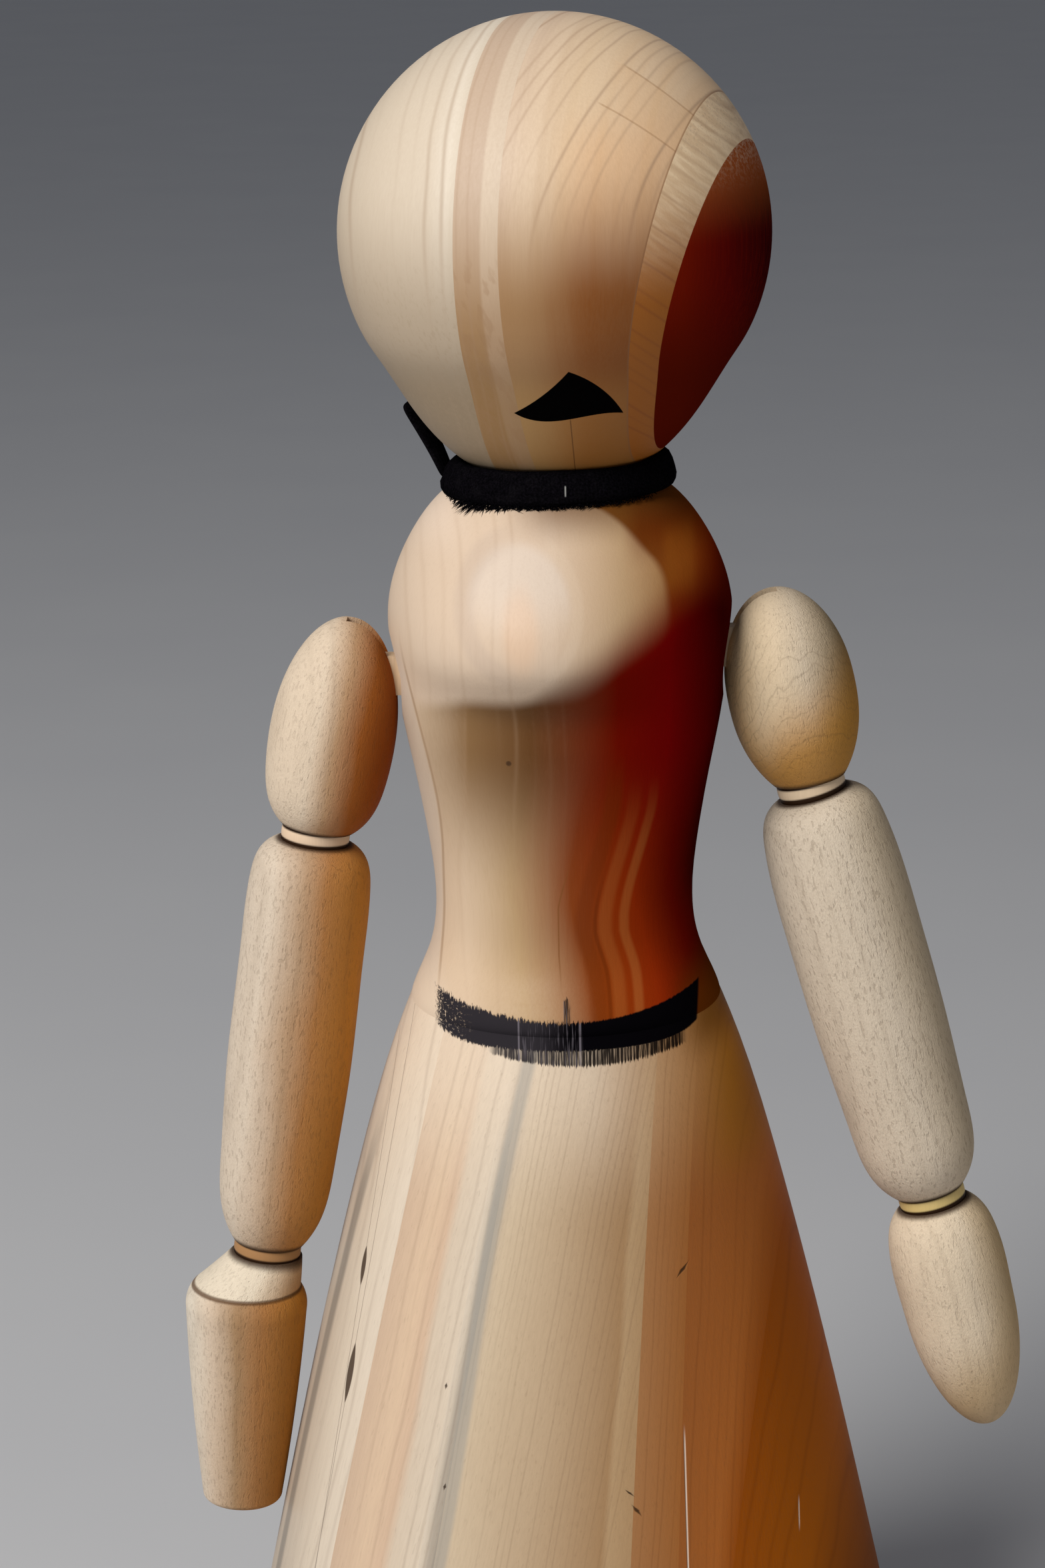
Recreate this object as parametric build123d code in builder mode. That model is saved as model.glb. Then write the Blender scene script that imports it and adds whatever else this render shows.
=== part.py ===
"""Jointed wooden puppet: a turned doll with a glued-up skirt and head, and loose-jointed arms.

Millimetres. +Z is up, the puppet faces -Y, and its own left hand is on +X.
The origin is the centre of the skirt's flat underside.
"""
import math
import os

from build123d import *

ON_PLANE = (Align.CENTER, Align.CENTER, Align.MIN)

# Driving dimensions --------------------------------------------------------------------
HEM_R = 60.0             # skirt at the floor
HEM_EDGE = 1.2           # rounding of the hem
SEAM_Z = 142.0           # glue joint between skirt and torso, under the painted belt
SEAM_R = 25.3
NECK_Z = 228.2           # flat top of the torso
HEAD_BASE_Z = 229.1      # flat underside of the head
HEAD_R = 34.0
HEAD_WIDEST_Z = 266.0
HEAD_ROUND_FROM = -20.0  # the head is a ball from this angle below its widest line upward
GLUE_GAP = 0.03          # radial gap of a glued or driven fit
RUN_GAP = 0.06           # radial gap of a turning fit
PLAY = 0.3               # end play left in blind holes

# Skirt: bored out from below and closed with a plywood disc
BORE_R = 36.0
BORE_TOP_R = 16.0
BORE_TOP_Z = 100.0
BORE_STRAIGHT_Z = 60.0
BASE_DISC_R = 47.0
BASE_DISC_T = 6.0
BASE_SCREW_RING_R = 41.5
BASE_SCREW_COUNT = 4
BASE_SCREW_R = 1.4
BASE_SCREW_HEAD_R = 2.85
BASE_SCREW_HEAD_Z = 0.25     # heads sit just inside the underside
BASE_SCREW_HEAD_T = 1.5
BASE_SCREW_TIP_Z = 13.75
TENON_R = 9.0
TENON_LENGTH = 10.0
WAIST_SHANK_R = 2.0
WAIST_HEAD_R = 4.2
WAIST_HEAD_T = 2.6
WAIST_WASHER_R = 7.5
WAIST_WASHER_T = 1.2
WAIST_SCREW_TOP_Z = 153.0
WAIST_POINT = 3.0

# Glue planes: where each crosses the X axis at the stated height, and its lean along X
GLUE_YAW = 10.0
SKIRT_GLUE_Z = 70.0
SKIRT_GLUE = ((-31.6, 11.8), (-16.3, 9.9), (-13.7, 9.6), (16.8, 1.2), (23.9, 0.0), (33.3, 5.7))
HEAD_GLUE_YAW = 17.0
HEAD_GLUE_Z = 266.0
HEAD_GLUE = ((-6.3, 0.0), (1.2, 0.0), (22.6, 12.0), (27.8, 16.0))
MOUTH_INLAY = 1.2

# Torso: height and radius of its sections, and the rounded chest
TORSO_STATIONS = (
    (142.0, 25.3), (149.0, 22.5), (158.5, 20.85), (170.0, 22.0), (181.0, 24.0),
    (189.0, 25.6), (194.0, 26.4), (198.0, 26.95), (202.0, 27.45), (207.0, 27.5),
    (212.0, 26.5), (216.5, 24.7), (220.5, 22.4), (224.0, 19.6), (226.4, 16.6), (228.2, 12.5))
SECTION_POINTS = 24
CHEST_RISE = 5.2
CHEST_TURN = -8.0        # degrees from the front, towards the puppet's right
CHEST_HALF_ANGLE = 64.0
CHEST_LOW_Z = (192.5, 203.0)
CHEST_HIGH_Z = (206.0, 224.0)

# Neck
NECK_DOWEL_R = 5.0
NECK_DOWEL_BOTTOM_Z = 206.3
NECK_DOWEL_TOP_Z = 252.0
NECK_GROOVE_Z = 237.0
NECK_BRAD_LENGTH = 24.0
NECK_WASHER_R = 11.0
NECK_WASHER_GAP = 0.05
COLLAR_R = 18.4
TAIL_TURN = 24.0         # the collar's tied end, degrees round to the back from the puppet's right
TAIL_HALF_WIDTH = 3.0

# Keeper pins: steel brads that ride in a groove and hold a turning piece in
BRAD_R = 0.8
GROOVE_WIDTH = 1.8
GROOVE_DEPTH = 1.0

# Shoulders: centre of the top of each arm's egg, and the knuckle that carries it
DISH_R = 8.0
DISH_X = 25.55
KNUCKLE_R = 4.0
KNUCKLE_INNER_X = 10.0
KNUCKLE_GROOVE_X = 14.0
CHEEK_R = 3.2
CHEEK_T = 3.6
CHEEK_GAP = 0.05
SLOT_GAP = 0.2
SHOULDER_PIN_R = 1.0
SHOULDER_PIN_FRONT = 5.5
SHOULDER_PIN_LENGTH = 13.2
RAISE_MAX = 60.0

# Ball joints at the elbows and wrists
BALL_R = 5.6
RIM_R = 5.9
BALL_PIN_R = 0.7
BALL_PIN_HALF = 4.9
TONGUE_T = 1.5
TONGUE_HALF_WIDTH = 1.5
TONGUE_EYE_R = 2.0
TONGUE_NECK = 0.3        # the flat tongue stops this far inside the ball's surface
SHANK_R = 1.5
SHANK_END = 16.0
SHANK_GROOVE_AT = 12.0
SMALL_BRAD_R = 0.7
SMALL_BRAD_FRONT = 3.0
SMALL_GROOVE_DEPTH = 0.65
BEND_MAX = 20.0

# The arms hang in the plane y = 0. X is stated for the puppet's left and negated for its right.
ARMS = {
    "right": {
        "side": -1, "apex": (33.2, 205.0), "elbow": (40.2, 169.3), "wrist": (50.3, 98.2),
        "tip": (56.0, 53.2), "shoulder_at": 9.5, "shoulder_brad": 27.5, "brad_back": (9.4, 9.2),
        "egg": ((RIM_R, 1.2), (8.5, 4.6), (9.9, 10.5), (10.2, 16.5)),
        "forearm": ((RIM_R, 1.2), (8.6, 3.3), (9.9, 8.5), (10.1, 20.0), (10.2, 40.0),
                    (9.5, 56.0), (8.2, 66.0), (RIM_R, 70.6)),
    },
    "left": {
        "side": 1, "apex": (33.6, 208.6), "elbow": (40.2, 176.1), "wrist": (60.3, 105.3),
        "tip": (70.3, 64.5), "shoulder_at": 9.3, "shoulder_brad": 27.0, "brad_back": (9.6, 8.9),
        "egg": ((RIM_R, 1.1), (8.2, 4.8), (10.0, 10.6), (10.35, 16.5)),
        "forearm": ((RIM_R, 1.5), (8.6, 3.4), (10.2, 8.5), (10.9, 26.0), (10.75, 42.0),
                    (10.0, 59.0), (8.6, 68.3), (RIM_R, 72.3)),
    },
}
DOME_POINTS = 6                  # steps round the rounded end of an egg
PADDLE_HAND = ((5.8, 1.3), (7.6, 3.2), (9.2, 8.5), (9.5, 13.5), (9.35, 18.0))
CUFF_SEAM = (-54.0, 91.6)        # centre of the barrel hand's top, on the puppet's right
CUFF_SEAM_R = 9.0
BARREL_R = 10.1
BARREL_END_R = 6.7
BARREL_EDGE = 1.2
CUFF_TOP_DROP = 1.1


# Helpers -------------------------------------------------------------------------------
def limb_plane(start, end):
    """A limb's frame: origin at start, Z pointing from end to start, Y to the puppet's back."""
    axis = (Vector(*start) - Vector(*end)).normalized()
    return Plane(origin=start, x_dir=(axis.Z, 0, -axis.X), z_dir=axis)


def front_plane(frame):
    """Sketch plane through a limb's axis, seen from the front: sketch Y runs up the axis."""
    return Plane(origin=frame.origin, x_dir=frame.x_dir, z_dir=-frame.y_dir)


def bend_plane(frame):
    """Sketch plane square to a bend pin: sketch X to the back, sketch Y up the axis."""
    return Plane(origin=frame.origin, x_dir=frame.y_dir, z_dir=frame.x_dir)


def limb_axis(frame):
    return Axis(frame.origin, frame.z_dir)


def domed_egg(frame, outline, length, sense):
    """Solid of revolution whose outline, (radius, distance), ends in a dome length away.

    Sense is 1 where the distances run up the limb and -1 where they run down it.
    """
    radius, widest = outline[-1]
    turns = [math.pi / 2 * number / DOME_POINTS for number in range(1, DOME_POINTS)]
    dome = [(radius * math.cos(turn), widest + (length - widest) * math.sin(turn)) for turn in turns]
    points = [(across, sense * away) for across, away in (*outline, *dome, (0, length))]
    with BuildPart() as piece:
        with BuildSketch(front_plane(frame)):
            with BuildLine():
                Spline(*points)
                Polyline(points[-1], (0, points[0][1]), points[0])
            make_face()
        revolve(axis=limb_axis(frame))
    return piece.part


def barrel_shape(frame, outline):
    """Solid of revolution below the frame's origin; outline is (radius, distance down)."""
    points = [(radius, -down) for radius, down in outline]
    with BuildPart() as piece:
        with BuildSketch(front_plane(frame)):
            with BuildLine():
                Spline(*points)
                Polyline(points[-1], (0, points[-1][1]), (0, points[0][1]), points[0])
            make_face()
        revolve(axis=limb_axis(frame))
    return piece.part


def glue_planes(cuts, yaw, height):
    """Planes between glued strips, each facing +X."""
    normal_y = -math.tan(math.radians(yaw))
    return [Plane(origin=(x, 0, height), z_dir=(1, normal_y, -math.tan(math.radians(lean))))
            for x, lean in cuts]


def save(piece, name):
    """Label one piece and write it."""
    piece.part.label = name
    export_step(piece.part, f"parts/{name}.step")


def save_strips(whole, planes, name):
    """Cut a glued-up block into its strips, from the puppet's right to its left."""
    for number in range(len(planes) + 1):
        with BuildPart() as strip:
            add(whole)
            if number > 0:
                split(bisect_by=planes[number - 1], keep=Keep.TOP)
            if number < len(planes):
                split(bisect_by=planes[number], keep=Keep.BOTTOM)
        save(strip, f"{name}_{number + 1}")


def polar_point(radius, degrees):
    """A point on a section, with 0 degrees at the front and positive towards +X."""
    angle = math.radians(degrees)
    return radius * math.sin(angle), -radius * math.cos(angle)


def smooth(low, high, value):
    """0 below low, 1 above high, and a smooth step between."""
    share = min(max((value - low) / (high - low), 0.0), 1.0)
    return share * share * (3 - 2 * share)


# Skirt and base ------------------------------------------------------------------------
def skirt_block():
    """The whole skirt, before it is cut into its glued strips."""
    with BuildPart() as skirt:
        with BuildSketch(Plane.XZ):
            with BuildLine():
                Spline((HEM_R, HEM_EDGE), (52.0, 37.9), (43.3, 77.7), (35.1, 111.3), (28.9, 132.5),
                       (SEAM_R, SEAM_Z))
                Polyline((SEAM_R, SEAM_Z), (0, SEAM_Z), (0, 0), (HEM_R - HEM_EDGE, 0))
                RadiusArc((HEM_R - HEM_EDGE, 0), (HEM_R, HEM_EDGE), -HEM_EDGE)
            make_face()
        revolve(axis=Axis.Z)
        with BuildSketch(Plane.XZ):
            with BuildLine():
                Polyline((0, 0), (BASE_DISC_R + GLUE_GAP, 0), (BASE_DISC_R + GLUE_GAP, BASE_DISC_T),
                         (BORE_R, BASE_DISC_T), (BORE_R, BORE_STRAIGHT_Z),
                         (BORE_TOP_R, BORE_TOP_Z), (0, BORE_TOP_Z), close=True)
            make_face()
        revolve(axis=Axis.Z, mode=Mode.SUBTRACT)
        with Locations((0, 0, SEAM_Z)):
            Hole(TENON_R + GLUE_GAP, TENON_LENGTH + PLAY)
        with BuildSketch(Plane.XY.offset(BORE_TOP_Z)):
            Circle(WAIST_SHANK_R + GLUE_GAP)
        extrude(amount=SEAM_Z - BORE_TOP_Z, mode=Mode.SUBTRACT)
        with BuildSketch(Plane.XY.offset(BASE_DISC_T)):
            with PolarLocations(BASE_SCREW_RING_R, BASE_SCREW_COUNT, start_angle=45):
                Circle(BASE_SCREW_R + GLUE_GAP)
        extrude(amount=BASE_SCREW_TIP_Z + PLAY - BASE_DISC_T, mode=Mode.SUBTRACT)
    return skirt.part


def base_disc():
    with BuildPart() as disc:
        Cylinder(BASE_DISC_R, BASE_DISC_T, align=ON_PLANE)
        with Locations(Plane.XY.rotated((180, 0, 0))):
            with PolarLocations(BASE_SCREW_RING_R, BASE_SCREW_COUNT, start_angle=45):
                CounterSinkHole(BASE_SCREW_R + GLUE_GAP, BASE_SCREW_HEAD_R + 0.35,
                                counter_sink_angle=90)
    save(disc, "base_disc")


def base_screws():
    """Countersunk wood screws, heads just below the underside of the disc."""
    with BuildPart() as screws:
        with PolarLocations(BASE_SCREW_RING_R, BASE_SCREW_COUNT, start_angle=45):
            with Locations((0, 0, BASE_SCREW_HEAD_Z)):
                Cone(BASE_SCREW_HEAD_R, BASE_SCREW_R, BASE_SCREW_HEAD_T, align=ON_PLANE)
                Cylinder(BASE_SCREW_R, BASE_SCREW_TIP_Z - BASE_SCREW_HEAD_Z, align=ON_PLANE)
                Box(2.5 * BASE_SCREW_HEAD_R, 0.7, 1.2, mode=Mode.SUBTRACT)
    save(screws, "base_screws")


def waist_screw():
    """One long screw from the bore up into the torso, with its washer."""
    washer_low = BORE_TOP_Z - WAIST_WASHER_T
    with BuildPart() as washer:
        with BuildSketch(Plane.XY.offset(washer_low)):
            Circle(WAIST_WASHER_R)
            Circle(WAIST_SHANK_R + 0.1, mode=Mode.SUBTRACT)
        extrude(amount=WAIST_WASHER_T)
    save(washer, "waist_washer")
    with BuildPart() as screw:
        with BuildSketch(Plane.XY.offset(washer_low - WAIST_HEAD_T)):
            Circle(WAIST_HEAD_R)
        extrude(amount=WAIST_HEAD_T)
        fillet(screw.edges().group_by(Axis.Z)[0], 1.2)
        with BuildSketch(Plane.XY.offset(washer_low)):
            Circle(WAIST_SHANK_R)
        extrude(amount=WAIST_SCREW_TOP_Z - WAIST_POINT - washer_low)
        with BuildSketch(Plane.XY.offset(WAIST_SCREW_TOP_Z - WAIST_POINT)):
            Circle(WAIST_SHANK_R)
        extrude(amount=WAIST_POINT, taper=25)
        with BuildSketch(Plane.XY.offset(washer_low - WAIST_HEAD_T)):
            Rectangle(2 * WAIST_HEAD_R, 1.0)
        extrude(amount=1.1, mode=Mode.SUBTRACT)
    save(screw, "waist_screw")


# Torso ---------------------------------------------------------------------------------
def chest_rise(height, degrees):
    """How far the rounded chest stands out from the turned torso."""
    level = smooth(*CHEST_LOW_Z, height) * (1 - smooth(*CHEST_HIGH_Z, height))
    off_centre = min(abs(degrees - CHEST_TURN) / CHEST_HALF_ANGLE, 1.0)
    return CHEST_RISE * level * math.cos(off_centre * math.pi / 2) ** 1.5


def torso():
    step = 360 / SECTION_POINTS
    with BuildPart() as body:
        for height, radius in TORSO_STATIONS:
            ring = [number * step - 180 for number in range(SECTION_POINTS)]
            with BuildSketch(Plane.XY.offset(height)):
                with BuildLine():
                    Spline(*[polar_point(radius + chest_rise(height, turn), turn) for turn in ring],
                           periodic=True)
                make_face()
        loft()
        with BuildSketch(Plane.XY.offset(SEAM_Z)):
            Circle(TENON_R)
        extrude(amount=-TENON_LENGTH)
        with BuildSketch(Plane.XY.offset(SEAM_Z - TENON_LENGTH)):
            Circle(WAIST_SHANK_R + GLUE_GAP)
        extrude(amount=WAIST_SCREW_TOP_Z + PLAY - SEAM_Z + TENON_LENGTH, mode=Mode.SUBTRACT)
        with BuildSketch(Plane.XY.offset(NECK_Z)):
            Circle(NECK_DOWEL_R + GLUE_GAP)
        extrude(amount=NECK_DOWEL_BOTTOM_Z - PLAY - NECK_Z, mode=Mode.SUBTRACT)
        for arm in ARMS.values():
            side = arm["side"]
            height = shoulder_point(arm)[2]
            socket = Plane(origin=(side * DISH_X, 0, height), z_dir=(side, 0, 0))
            with BuildSketch(socket):
                Circle(DISH_R)
            extrude(amount=DISH_R, mode=Mode.SUBTRACT)
            with BuildSketch(socket):
                Circle(KNUCKLE_R + RUN_GAP)
            extrude(amount=KNUCKLE_INNER_X - PLAY - DISH_X, mode=Mode.SUBTRACT)
            with BuildSketch(keeper_plane(arm)):
                Circle(BRAD_R + GLUE_GAP)
            extrude(amount=2 * arm["shoulder_brad"], mode=Mode.SUBTRACT)
    save(body, "torso")


def shoulder_point(arm):
    """Centre about which an arm's egg turns."""
    frame = upper_arm_frame(arm)
    return tuple(frame.origin + frame.z_dir * (arm_length(arm) - arm["shoulder_at"]))


def arm_length(arm):
    return math.dist(arm["apex"], arm["elbow"])


def arm_point(arm, name):
    x, z = arm[name]
    return arm["side"] * x, 0, z


def upper_arm_frame(arm):
    """Origin at the elbow, Z towards the top of the egg."""
    axis = (Vector(*arm_point(arm, "apex")) - Vector(*arm_point(arm, "elbow"))).normalized()
    return Plane(origin=arm_point(arm, "elbow"), x_dir=(axis.Z, 0, -axis.X), z_dir=axis)


def keeper_plane(arm):
    """Where a shoulder's keeper pin ends inside the torso; it points to the back."""
    height = shoulder_point(arm)[2] + KNUCKLE_R - GROOVE_DEPTH + BRAD_R + RUN_GAP
    return Plane(origin=(arm["side"] * KNUCKLE_GROOVE_X, -6, height), z_dir=(0, 1, 0))


def shoulder_keepers():
    """Two brads driven in from the back, one over each knuckle's groove."""
    with BuildPart() as keepers:
        for arm in ARMS.values():
            with BuildSketch(keeper_plane(arm)):
                Circle(BRAD_R)
            extrude(amount=arm["shoulder_brad"])
    save(keepers, "shoulder_keepers")


# Neck and collar -----------------------------------------------------------------------
def neck():
    with BuildPart() as dowel:
        with BuildSketch(Plane.XY.offset(NECK_DOWEL_BOTTOM_Z)):
            Circle(NECK_DOWEL_R)
        extrude(amount=NECK_DOWEL_TOP_Z - NECK_DOWEL_BOTTOM_Z)
        chamfer(dowel.edges().filter_by(GeomType.CIRCLE), 0.6)
        with BuildSketch(Plane.XY.offset(NECK_GROOVE_Z - GROOVE_WIDTH / 2)):
            Circle(NECK_DOWEL_R + 1)
            Circle(NECK_DOWEL_R - GROOVE_DEPTH, mode=Mode.SUBTRACT)
        extrude(amount=GROOVE_WIDTH, mode=Mode.SUBTRACT)
    save(dowel, "neck_dowel")
    with BuildPart() as washer:
        with BuildSketch(Plane.XY.offset(NECK_Z)):
            Circle(NECK_WASHER_R)
            Circle(NECK_DOWEL_R + 0.3, mode=Mode.SUBTRACT)
        extrude(amount=HEAD_BASE_Z - NECK_Z - NECK_WASHER_GAP)
    save(washer, "neck_washer")


def collar():
    """A soft black band in the groove between head and torso, and its tied end at the back."""
    with BuildPart() as band:
        with BuildSketch(Plane.XZ):
            with BuildLine():
                Polyline((16.7, 230.7), (14.7, 229.9), (14.7, 227.7), (18.2, 225.6))
                ThreePointArc((18.2, 225.6), (COLLAR_R, 228.2), (16.7, 230.7))
            make_face()
        revolve(axis=Axis.Z)
    save(band, "collar")
    turn = math.radians(TAIL_TURN)
    back_right = Vector(-math.cos(turn), math.sin(turn), 0)
    tail_plane = Plane(origin=(0, 0, 0), x_dir=back_right, z_dir=back_right.cross(Vector(0, 0, 1)))
    with BuildPart() as tail:
        with BuildSketch(tail_plane):
            with BuildLine():
                Spline((18.7, 226.6), (20.6, 231.0), (25.2, 239.4))
                Line((25.2, 239.4), (26.4, 238.8))
                Spline((26.4, 238.8), (22.8, 231.4), (20.4, 226.2))
                Line((20.4, 226.2), (18.7, 226.6))
            make_face()
        extrude(amount=TAIL_HALF_WIDTH, both=True)
    save(tail, "collar_tail")


# Head ----------------------------------------------------------------------------------
def head_form(inset):
    """The egg-shaped head, or a smaller copy inset from its surface."""
    top_r = HEAD_R - inset
    with BuildPart() as form:
        with BuildSketch(Plane.XZ):
            with BuildLine():
                crown = CenterArc((0, HEAD_WIDEST_Z), top_r, HEAD_ROUND_FROM, 90 - HEAD_ROUND_FROM)
                Polyline(crown @ 1, (0, HEAD_BASE_Z), (11.0 - inset, HEAD_BASE_Z))
                Spline((11.0 - inset, HEAD_BASE_Z), (16.3 - inset, 231.6), (22.1 - inset, 237.9),
                       (27.5 - inset, 246.2), crown @ 0, tangents=((1, 0.12), crown % 0))
            make_face()
        revolve(axis=Axis.Z)
    return form.part


def mouth_prism():
    """The mouth's outline carried through the front of the head."""
    left, apex, right = (-6.8, 241.4), (1.5, 248.4), (9.9, 240.9)
    with BuildPart() as prism:
        with BuildSketch(Plane.XZ):
            with BuildLine():
                ThreePointArc(left, (-3.1, 243.9), apex)
                ThreePointArc(apex, (6.3, 245.5), right)
                Spline(right, (3.4, 240.6), (-2.0, 240.0), left)
            make_face()
        extrude(amount=HEAD_R + 2)
    return prism.part


def head():
    brad_x = NECK_DOWEL_R - GROOVE_DEPTH + BRAD_R + RUN_GAP
    brad_plane = Plane(origin=(brad_x, -4, NECK_GROOVE_Z), z_dir=(0, 1, 0))
    outer = head_form(0)
    with BuildPart() as inlay:
        add(outer)
        add(mouth_prism(), mode=Mode.INTERSECT)
        add(head_form(MOUTH_INLAY), mode=Mode.SUBTRACT)
    with BuildPart() as keeper:
        with BuildSketch(brad_plane):
            Circle(BRAD_R)
        extrude(amount=NECK_BRAD_LENGTH)
    with BuildPart() as block:
        add(outer)
        add(inlay.part, mode=Mode.SUBTRACT)
        with BuildSketch(Plane.XY.offset(HEAD_BASE_Z)):
            Circle(NECK_DOWEL_R + RUN_GAP)
        extrude(amount=NECK_DOWEL_TOP_Z + PLAY - HEAD_BASE_Z, mode=Mode.SUBTRACT)
        with BuildSketch(brad_plane):
            Circle(BRAD_R + GLUE_GAP)
        extrude(amount=HEAD_R, mode=Mode.SUBTRACT)
    save(inlay, "mouth")
    save(keeper, "neck_keeper")
    save_strips(block.part, glue_planes(HEAD_GLUE, HEAD_GLUE_YAW, HEAD_GLUE_Z), "head_strip")


# Arms ----------------------------------------------------------------------------------
def shoulder(arm, name):
    """Knuckle that turns in the torso, and the pin that the upper arm is raised about."""
    side = arm["side"]
    centre = shoulder_point(arm)
    with BuildPart() as knuckle:
        with BuildSketch(Plane(origin=(side * DISH_X, 0, centre[2]), z_dir=(side, 0, 0))):
            Circle(KNUCKLE_R)
        extrude(amount=KNUCKLE_INNER_X - DISH_X)
        with BuildSketch(Plane.XZ.offset(-CHEEK_T / 2)):
            with Locations((centre[0], centre[2])):
                Circle(CHEEK_R)
            with Locations(((side * (DISH_X - 1) + centre[0]) / 2, centre[2])):
                Rectangle(abs(centre[0]) - DISH_X + 1, 2 * CHEEK_R)
        extrude(amount=CHEEK_T)
        with BuildSketch(Plane(origin=(side * KNUCKLE_GROOVE_X, 0, centre[2]), z_dir=(1, 0, 0))):
            Circle(KNUCKLE_R + 1)
            Circle(KNUCKLE_R - GROOVE_DEPTH, mode=Mode.SUBTRACT)
        extrude(amount=GROOVE_WIDTH / 2, both=True, mode=Mode.SUBTRACT)
        with BuildSketch(Plane.XZ):
            with Locations((centre[0], centre[2])):
                Circle(SHOULDER_PIN_R + RUN_GAP)
        extrude(amount=CHEEK_T, both=True, mode=Mode.SUBTRACT)
    save(knuckle, f"{name}_shoulder_knuckle")
    with BuildPart() as pin:
        with BuildSketch(Plane.XZ.offset(SHOULDER_PIN_FRONT)):
            with Locations((centre[0], centre[2])):
                Circle(SHOULDER_PIN_R)
        extrude(amount=-SHOULDER_PIN_LENGTH)
    save(pin, f"{name}_shoulder_pin")


def upper_arm(arm, name):
    """Egg with a ball cup at the elbow and a slot at the shoulder."""
    side = arm["side"]
    frame = upper_arm_frame(arm)
    centre = shoulder_point(arm)
    reach = 14.0
    half = CHEEK_R + SLOT_GAP
    raised = math.radians(RAISE_MAX + 3)
    toward_torso = -side
    lift_x, lift_z = math.cos(raised), math.sin(raised)
    with BuildPart() as egg:
        add(domed_egg(frame, arm["egg"], arm_length(arm), 1))
        with Locations(frame):
            Sphere(BALL_R + GLUE_GAP, mode=Mode.SUBTRACT)
        with BuildSketch(Plane.XZ.offset(-(CHEEK_T / 2 + CHEEK_GAP))):
            with Locations((centre[0], centre[2])):
                Circle(half)
                Polygon((0, -half), (toward_torso * reach, -half),
                        (toward_torso * reach, reach * lift_z),
                        (toward_torso * (reach * lift_x - half * lift_z),
                         reach * lift_z + half * lift_x),
                        (-toward_torso * half * lift_z, half * lift_x), align=None)
        extrude(amount=CHEEK_T + 2 * CHEEK_GAP, mode=Mode.SUBTRACT)
        with BuildSketch(Plane.XZ.offset(SHOULDER_PIN_FRONT + PLAY)):
            with Locations((centre[0], centre[2])):
                Circle(SHOULDER_PIN_R + GLUE_GAP)
        extrude(amount=-2 * SHOULDER_PIN_LENGTH, mode=Mode.SUBTRACT)
    save(egg, f"{name}_upper_arm")


def ball_joint(frame, name):
    """Slotted ball, its cross pin, and the steel tongue whose shank enters the next piece."""
    pin_plane = Plane(origin=frame.origin - frame.x_dir * BALL_PIN_HALF, z_dir=frame.x_dir)
    swing = math.radians(BEND_MAX + 1.5)
    wall = TONGUE_HALF_WIDTH + 0.1
    deep = BALL_R + 1.5
    corner = (wall * math.cos(swing) + deep * math.sin(swing),
              wall * math.sin(swing) - deep * math.cos(swing))
    with BuildPart() as ball:
        with Locations(frame):
            Sphere(BALL_R)
        with BuildSketch(bend_plane(frame)):
            Circle(TONGUE_EYE_R + 0.15)
            with BuildLine():
                Polyline((-wall, 0), (wall, 0), corner, (-corner[0], corner[1]), close=True)
            make_face()
        extrude(amount=TONGUE_T / 2 + 0.05, both=True, mode=Mode.SUBTRACT)
        with BuildSketch(pin_plane):
            Circle(BALL_PIN_R + GLUE_GAP)
        extrude(amount=2 * BALL_PIN_HALF + 3, mode=Mode.SUBTRACT)
    save(ball, f"{name}_ball")
    with BuildPart() as pin:
        with BuildSketch(pin_plane):
            Circle(BALL_PIN_R)
        extrude(amount=2 * BALL_PIN_HALF)
    save(pin, f"{name}_pin")
    with BuildPart() as tongue:
        with BuildSketch(bend_plane(frame)):
            Circle(TONGUE_EYE_R)
            with Locations((0, -(BALL_R - TONGUE_NECK) / 2)):
                Rectangle(2 * TONGUE_HALF_WIDTH, BALL_R - TONGUE_NECK)
        extrude(amount=TONGUE_T / 2, both=True)
        with BuildSketch(frame.offset(2 * TONGUE_NECK - BALL_R)):
            Circle(SHANK_R)
            Rectangle(TONGUE_T, 2 * SHANK_R, mode=Mode.INTERSECT)
        extrude(amount=-2 * TONGUE_NECK)
        with BuildSketch(frame.offset(-BALL_R)):
            Circle(SHANK_R)
        extrude(amount=BALL_R - SHANK_END)
        with BuildSketch(frame.offset(-SHANK_GROOVE_AT - GROOVE_WIDTH / 2)):
            Circle(SHANK_R + 1)
            Circle(SHANK_R - SMALL_GROOVE_DEPTH, mode=Mode.SUBTRACT)
        extrude(amount=GROOVE_WIDTH, mode=Mode.SUBTRACT)
        with BuildSketch(bend_plane(frame)):
            Circle(BALL_PIN_R + RUN_GAP)
        extrude(amount=TONGUE_T, both=True, mode=Mode.SUBTRACT)
    save(tongue, f"{name}_tongue")


def keeper_spot(frame):
    """Plane of a limb's keeper brad: beside the shank's groove, pointing to the back."""
    beside = SHANK_R - SMALL_GROOVE_DEPTH + SMALL_BRAD_R + RUN_GAP
    middle = frame.origin + frame.x_dir * beside - frame.z_dir * SHANK_GROOVE_AT
    return Plane(origin=middle - frame.y_dir * SMALL_BRAD_FRONT, x_dir=frame.x_dir,
                 z_dir=frame.y_dir)


def keeper(frame, name, back):
    with BuildPart() as brad:
        with BuildSketch(keeper_spot(frame)):
            Circle(SMALL_BRAD_R)
        extrude(amount=SMALL_BRAD_FRONT + back)
    save(brad, f"{name}_keeper")


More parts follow.
